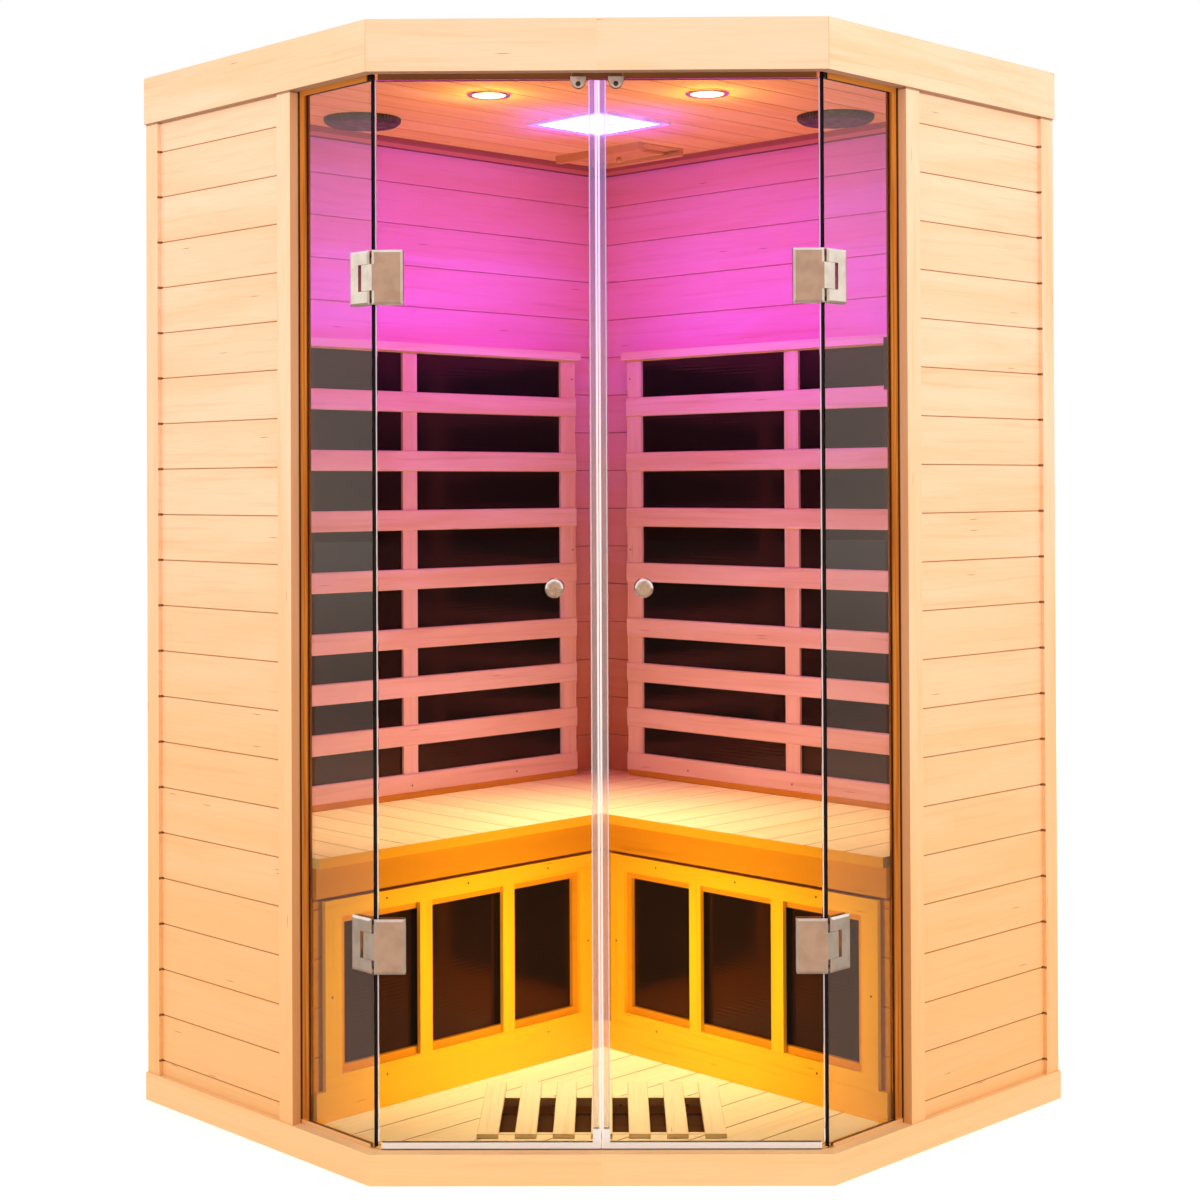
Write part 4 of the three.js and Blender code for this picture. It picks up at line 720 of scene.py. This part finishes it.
def grille_bead(half):
    """Brown bead between the seat and the backrest: a rounded section carried along the foot of the backrest."""
    # Painted shade: the bead's darker amber tone stands in for the shaded wood in the gap under the backrest.
    t = np.array([0.0795, 0.0830, 0.0842, 0.0842, 0.0830, 0.0795])
    z = np.array([SEAT_TOP + 0.0003, SEAT_TOP + 0.0003, SEAT_TOP + 0.0015, GRILLE_FOOT - 0.0015, GRILLE_FOOT - 0.0003,
                  GRILLE_FOOT - 0.0003])
    rings = in_cabin(np.array(GRILLE_SPAN)[:, None], t, z, HALVES[half])
    return piece(f"{half}_grille_bead", [rings], bead_timber, "cabin")


# Small fasteners

BRAD = [(0.0004, -0.0004), (0.0021, -0.0004), (0.0021, 0.0002), (0.0014, 0.0005), (0.0004, 0.0006)]
SCREW = [(0.0006, -0.0005), (0.0042, -0.0005), (0.0042, 0.0005), (0.0034, 0.0012), (0.0018, 0.0013), (0.0012, 0.0006)]


def heads(places, profile, sides, half):
    """Fastener heads on faces that look away from a back wall."""
    step = in_cabin([0, 1, 0, 0], [0, 0, 1, 0], [0, 0, 0, 1], half)
    across, out, up = step[1] - step[0], step[2] - step[0], step[3] - step[0]
    return [turned_on(profile, sides, in_cabin(*place, half), across, up, out) for place in places]


def bench_brads(half):
    """Brads in the heater frame, the skirting and the backrest of one half."""
    low, high = FRAME_SPAN
    middle = (low + high) / 2
    places = [(s, RAIL_FRONT, 0.415) for s in (low + 0.12, middle, high - 0.13)]
    places += [(s, RAIL_FRONT, 0.107) for s in (low + 0.12, high - 0.13)]
    places += [(s, RAIL_FRONT, 0.262) for s in (low + 0.0145, high - 0.0145)]
    low, high = GRILLE_SPAN
    places += [(s, UPRIGHT_FRONT, z) for z in (1.370, 0.997) for s in (low + 0.009, high - 0.009)]
    places += [(s, GRILLE_FRONT, 0.531) for s in (low + 0.18, (low + high) / 2, high - 0.18)]
    return piece(f"{half}_bench_brads", heads(places, BRAD, 8, HALVES[half]), brads, "cabin")


def roof_screws():
    """Countersunk heads round the roof sheet, level with the sheet's edges."""
    run = np.linspace(0.08, 1.12, 6)
    edge = 0.05
    plan = [(s, edge) for s in run] + [(edge, t) for t in run[1:]]
    plan += [(SIDE - edge, t) for t in (0.25, 0.45, 0.6)] + [(s, SIDE - edge) for s in (0.25, 0.45, 0.6)]
    plan += [(0.95, 0.83), (0.83, 0.95)]
    lofts = []
    for s, t in plan:
        lofts.append(turned_on(SCREW, 12, in_cabin(s, t, ROOF_SHEET, -1), (1, 0, 0), (0, 1, 0), (0, 0, 1)))
    return piece("roof_screws", lofts, steel, "cabin")


def hinge_screws(half):
    """Clamp screws on the inner plates of the door leaves."""
    lofts = []
    for level in HINGE_LEVELS:
        for rise in (-0.026, 0.026):
            centre = (HALVES[half] * (BEND_FRONT - 0.03), 0.038 - BACK_CORNER, level + rise)
            lofts.append(turned_on(SCREW, 14, centre, (1, 0, 0), (0, 0, 1), (0, 1, 0)))
    return piece(f"{half}_hinge_screws", lofts, steel, f"{half}_door")


def clip_screw(half):
    """Set screw in the lobe of the strike clip."""
    centre = (HALVES[half] * 0.031, 0.0217 - BACK_CORNER, 1.7965)
    lofts = [turned_on(SCREW, 18, centre, (1, 0, 0), (0, 0, 1), (0, -1, 0))]
    return piece(f"{half}_clip_screw", lofts, pin_steel, f"{half}_door")


# Lamps, loudspeakers and control panel

def light_diffuser():
    """Diffuser of the ceiling light: square rings that shrink to the middle and sag by a cosine."""
    share = np.array([1.0, 1.0, 0.85, 0.6, 0.3, 0.05])
    sag = np.array([0.0, 0.0009, 0.0012, 0.0016, 0.0019, 0.002])
    corner = 0.0884 * share[:, None] * np.array([[-1, 1, 1, -1]])
    side = 0.0884 * share[:, None] * np.array([[-1, -1, 1, 1]])
    middle = DIAGONAL * BACK_CORNER
    rings = in_cabin(middle + corner, middle + side, 1.8439 - sag[:, None], -1)
    finish = lit_sheet("lit_diffuser", "FFFBFF", "3C1C86", 0.0805, 0.0872, 4.0, ("left s", "left t"), (middle, middle))
    return piece("light_diffuser", [rings], finish, "cabin")


def spot_lens(half):
    """Lens of a spotlight: a shallow dome turned about its axis."""
    share = np.linspace(1, 0.04, 9)
    profile = np.stack([0.0304 * share, -0.0016 * np.cos(share * math.pi / 2)], axis=-1)
    profile = np.concatenate([[(0.0304, 0.0004)], profile])
    centre = (HALVES[half] * 0.198, 0.28 * 2 * BACK_CORNER - BACK_CORNER, 1.8449)
    finish = lit_sheet(f"{half}_lit_lens", "FFF6DC", "FFB84A", 0.014, 0.034, 5.0, ("x", "y"), centre)
    lofts = [turned(profile, 40) + np.array(centre)]
    return piece(f"{half}_spot_lens", lofts, finish, "cabin")


def speaker_mesh(half):
    """Perforated cover of a loudspeaker: a shallow dish turned about its axis."""
    share = np.linspace(1, 0.03, 10)
    profile = np.stack([0.0595 * share, -0.0022 * np.cos(share * math.pi / 2)], axis=-1)
    profile = np.concatenate([[(0.0595, 0.0006)], profile])
    centre = in_cabin(SIDE - 0.378, 0.178, 1.8345, HALVES[half])
    return piece(f"{half}_speaker_mesh", [turned(profile, 48) + centre], speaker, "cabin")


def control_face():
    """Display and keys of the control panel: low rounded pads set in its recess."""
    def pad(t, z, wide, high, rise):
        grow = np.array([1.0, 1.0, 0.94])
        rounded = np.linspace(0, 2 * math.pi, 32, endpoint=False)
        bow = np.sign(np.cos(rounded)) * np.abs(np.cos(rounded)) ** 0.4
        bar = np.sign(np.sin(rounded)) * np.abs(np.sin(rounded)) ** 0.4
        depth = 1.1393 - rise * np.array([0.0, 0.7, 1.0])
        return in_cabin(depth[:, None], t + wide * grow[:, None] * bow, z + high * grow[:, None] * bar, 1)

    display = lit_sheet("lit_display", "6FA8C8", "1C3A4E", 0.02, 0.06, 0.35, ("t", "z"), (0.375, 1.36))
    piece("control_display", [pad(0.375, 1.359, 0.052, 0.012, 0.0008)], display, "cabin")
    keys = [pad(t, z, 0.0075, 0.0055, 0.0013) for z in (1.338, 1.323) for t in (0.33, 0.36, 0.39, 0.42)]
    piece("control_keys", keys, key_plastic, "cabin")


for half in HALVES:
    edge_seal(half)
    bend_seal(half)
    door_knob(half)
    head_strip(half)
    grille_bead(half)
    bench_brads(half)
    hinge_screws(half)
    clip_screw(half)
    spot_lens(half)
    speaker_mesh(half)
catch_rail()
roof_screws()
light_diffuser()
control_face()


# Floor, light and camera

def pale_floor():
    """Wide floor disc with a hardly visible mottle, left out of reflections so that the glass stays clear."""
    made = Finish("pale_floor")
    mottle = made.noise(made.place, scale=3.0, detail=3.0)
    shade = made.mix(made.fade(mottle, 0.3, 0.7), colour("FAF9F7"), colour("F6F5F3"))
    made.set(Base_Color=shade, Roughness=0.6, Emission_Color=(1.0, 1.0, 1.0, 1.0), Emission_Strength=0.3)
    angle = np.linspace(0, 2 * math.pi, 96, endpoint=False)
    ring = np.stack([40 * np.cos(angle), 40 * np.sin(angle), np.full(96, -0.0006)], axis=-1)
    mesh = bpy.data.meshes.new("floor")
    mesh.from_pydata(ring, [], [list(range(96))])
    mesh.materials.append(made.material)
    floor = bpy.data.objects.new("floor", mesh)
    bpy.context.scene.collection.objects.link(floor)
    floor.visible_glossy = False


def both(*names):
    """The objects of these names in either half."""
    return [bpy.data.objects[f"{half}_{name}"] for half in HALVES for name in names]


def lamp(name, kind, place, aim, tint, watts, lights=(), through=False, **settings):
    """A lamp at a place, aimed at a point, lighting without being seen itself, and only the named objects if any. Where
    it comes in through the glass, only these objects shade each other."""
    data = bpy.data.lights.new(name, kind)
    data.energy = watts
    data.color = tint
    for key, value in settings.items():
        setattr(data, key, value)
    made = bpy.data.objects.new(name, data)
    bpy.context.scene.collection.objects.link(made)
    made.location = place
    made.rotation_euler = (Vector(aim) - Vector(place)).to_track_quat("-Z", "Y").to_euler()
    made.visible_camera = False
    made.visible_transmission = False
    made.visible_glossy = False
    if lights:
        made.light_linking.receiver_collection = bpy.data.collections.new(f"{name}_reach")
        for reached in lights:
            made.light_linking.receiver_collection.objects.link(reached)
        if through:
            made.light_linking.blocker_collection = made.light_linking.receiver_collection
    return made


def surroundings():
    """White studio: white to the eye. As light it is tan behind the camera, warmer low down, dim below, and weak and
    amber where it comes in through the glass, so that the cabin's own lamps light the inside."""
    world = bpy.data.worlds.new("studio")
    bpy.context.scene.world = world
    world.use_nodes = True
    tree = world.node_tree
    tree.nodes.clear()

    def node(kind, **settings):
        made = tree.nodes.new(kind)
        for key, value in settings.items():
            setattr(made, key, value)
        return made

    def ramp(source, *ends):
        made = node("ShaderNodeMapRange", interpolation_type="SMOOTHSTEP")
        tree.links.new(source, made.inputs[0])
        for socket, value in zip(made.inputs[1:5], ends):
            socket.default_value = value
        return made.outputs[0]

    def mixed(share, first, second):
        made = node("ShaderNodeMix", data_type="RGBA")
        tree.links.new(share, made.inputs[0])
        for socket, value in zip(made.inputs[6:8], (first, second)):
            if isinstance(value, bpy.types.NodeSocket):
                tree.links.new(value, socket)
            else:
                socket.default_value = (*value, 1.0)
        return made.outputs[2]

    def combined(operation, first, second):
        made = node("ShaderNodeMath", operation=operation)
        tree.links.new(first, made.inputs[0])
        tree.links.new(second, made.inputs[1])
        return made.outputs[0]

    parts = node("ShaderNodeSeparateXYZ")
    tree.links.new(node("ShaderNodeTexCoord").outputs["Generated"], parts.inputs[0])
    path = node("ShaderNodeLightPath").outputs
    ahead = ramp(parts.outputs[1], -0.95, -0.45, 0.0, 1.0)
    sky = mixed(ramp(parts.outputs[2], -0.1, 0.7, 0.0, 1.0), (1.10, 0.99, 0.86), (1.08, 1.08, 1.08))
    sky = mixed(ramp(parts.outputs[2], -0.12, -0.01, 0.0, 1.0), (0.38, 0.29, 0.22), sky)
    sky = mixed(ahead, (0.62, 0.38, 0.25), sky)
    bounced = combined("ADD", path["Diffuse Depth"], path["Glossy Depth"])
    indoors = combined("MULTIPLY", path["Transmission Depth"], bounced)
    sky = mixed(ramp(indoors, 0.0, 1.0, 0.0, 1.0), sky, (0.17, 0.075, 0.02))
    light = node("ShaderNodeBackground")
    tree.links.new(sky, light.inputs[0])
    white = node("ShaderNodeBackground")
    white.inputs[0].default_value = (1.0, 1.0, 1.0, 1.0)
    choice = node("ShaderNodeMixShader")
    tree.links.new(path["Is Camera Ray"], choice.inputs[0])
    tree.links.new(light.outputs[0], choice.inputs[1])
    tree.links.new(white.outputs[0], choice.inputs[2])
    tree.links.new(choice.outputs[0], node("ShaderNodeOutputWorld").inputs[0])


def camera():
    """Camera at the photograph's place: right and up are turned by the small roll about the line of sight."""
    yaw, pitch, roll = -0.0091, 0.0095, -0.0043
    ahead = np.array([math.sin(yaw) * math.cos(pitch), math.cos(yaw) * math.cos(pitch), math.sin(pitch)])
    level = np.array([math.cos(yaw), -math.sin(yaw), 0.0])
    upward = np.cross(level, ahead)
    right = math.cos(roll) * level + math.sin(roll) * upward
    up = math.cos(roll) * upward - math.sin(roll) * level
    data = bpy.data.cameras.new("camera")
    data.sensor_width = 36.0
    data.lens = 36.0 * 2025.05 / 1200
    data.shift_x = 0.0080
    data.shift_y = -0.1101
    data.clip_end = 200.0
    made = bpy.data.objects.new("camera", data)
    bpy.context.scene.collection.objects.link(made)
    turn = np.eye(4)
    turn[:3, 0], turn[:3, 1], turn[:3, 2] = right, up, -ahead
    turn[:3, 3] = (0.01668, -3.95611, 1.13403)
    made.matrix_world = Matrix(turn.tolist())
    bpy.context.scene.camera = made


pale_floor()
surroundings()
camera()
bpy.context.scene.view_settings.view_transform = "Standard"

lamp("left_key", "AREA", (-2.6, -3.6, 3.0), (-0.3, 0.0, 1.2), (1.0, 0.98, 0.96), 45.0, size=2.4)
lamp("right_key", "AREA", (2.6, -3.6, 3.0), (0.3, 0.0, 1.2), (1.0, 0.98, 0.96), 57.0, size=2.4)
ceiling = [nodes[name] for name in ("ceiling_panel", "vent_frame", "vent_slide", "light_panel")]
ceiling += both("speaker", "speaker_mesh", "spotlight")
lower = both("bench_front", "bench_seat", "heater_frame", "low_heater", "bench_brads", "grille_bead")
lower += both("glass_channel", "side_wall")
ground = [nodes[name] for name in ("floor_deck", "foot_grille", "foot_heater", "base_platform")]
ground += both("bench_seat", "low_heater", "door_seal")
seals = both("door_seal")
slats = both("backrest_grille", "grille_bead")
walls = both("back_wall", "side_wall")
for half, sign in HALVES.items():
    wash = in_cabin([0.62, 0.62], [0.40, 0.04], [1.52, 1.48], sign)
    reached = [bpy.data.objects[f"{half}_{name}"] for name in ("back_wall", "backrest_grille", "back_heater", "bench_brads")]
    lamp(f"{half}_violet_glow", "AREA", wash[0], wash[1], (0.24, 0.012, 1.0), 4.6, reached, shape="RECTANGLE",
         size=0.9, size_y=0.06)
    rear = in_cabin([0.40, 0.40], [0.16, 0.10], [0.80, SEAT_TOP], sign)
    lamp(f"{half}_seat_glow", "AREA", rear[0], rear[1], (1.0, 0.1, 0.8), 0.3, both("bench_seat"), size=0.3)
    outside = in_cabin([1.75, 1.15], [0.64, 0.47], [0.42, 0.32], sign)
    lamp(f"{half}_end_glow", "AREA", outside[0], outside[1], (1.0, 0.62, 0.05), 1.5,
         both("bench_front", "bench_seat", "heater_frame"), through=True, size=0.3)
    place = (sign * 0.198, -0.2901, 1.838)
    lamp(f"{half}_spot", "SPOT", place, (sign * 0.23, -0.10, 0.0), (1.0, 0.95, 0.68), 84.0, ground,
         spot_size=0.94, spot_blend=1.0, shadow_soft_size=0.03)
    place = (sign * 0.198, -0.2901, 1.79)
    lamp(f"{half}_spot_halo", "POINT", place, (sign * 0.198, -0.2901, 0.0), (1.0, 0.55, 0.10), 0.7, ceiling,
         shadow_soft_size=0.02)
lamp("rose_glow", "AREA", (0.0, -0.30, 1.45), (0.0, 0.60, 1.60), (1.0, 0.02, 0.20), 0.37, walls, size=0.5)
lamp("amber_glow", "POINT", (0.0, -0.48, 0.28), (0.0, 0.30, 0.25), (1.0, 0.66, 0.0), 8.3, lower, shadow_soft_size=0.1)
lamp("slat_glow", "AREA", (0.0, -0.45, 0.70), (0.0, 0.50, 0.85), (0.70, 0.375, 1.0), 4.4, slats, size=0.5)
lamp("ceiling_glow", "AREA", (0.0, -0.10, 0.90), (0.0, -0.10, 1.8), (1.0, 0.48, 0.30), 5.7, ceiling, size=0.6)
lamp("light_halo", "AREA", (0.0, 0.0, 1.80), (0.0, 0.0, 1.9), (0.10, 0.02, 1.0), 0.9, ceiling, size=0.3)
lamp("seal_glow", "AREA", (0.0, -0.80, 1.86), (0.0, -0.60, 1.66), (0.55, 0.3, 1.0), 0.8, seals, size=0.1)
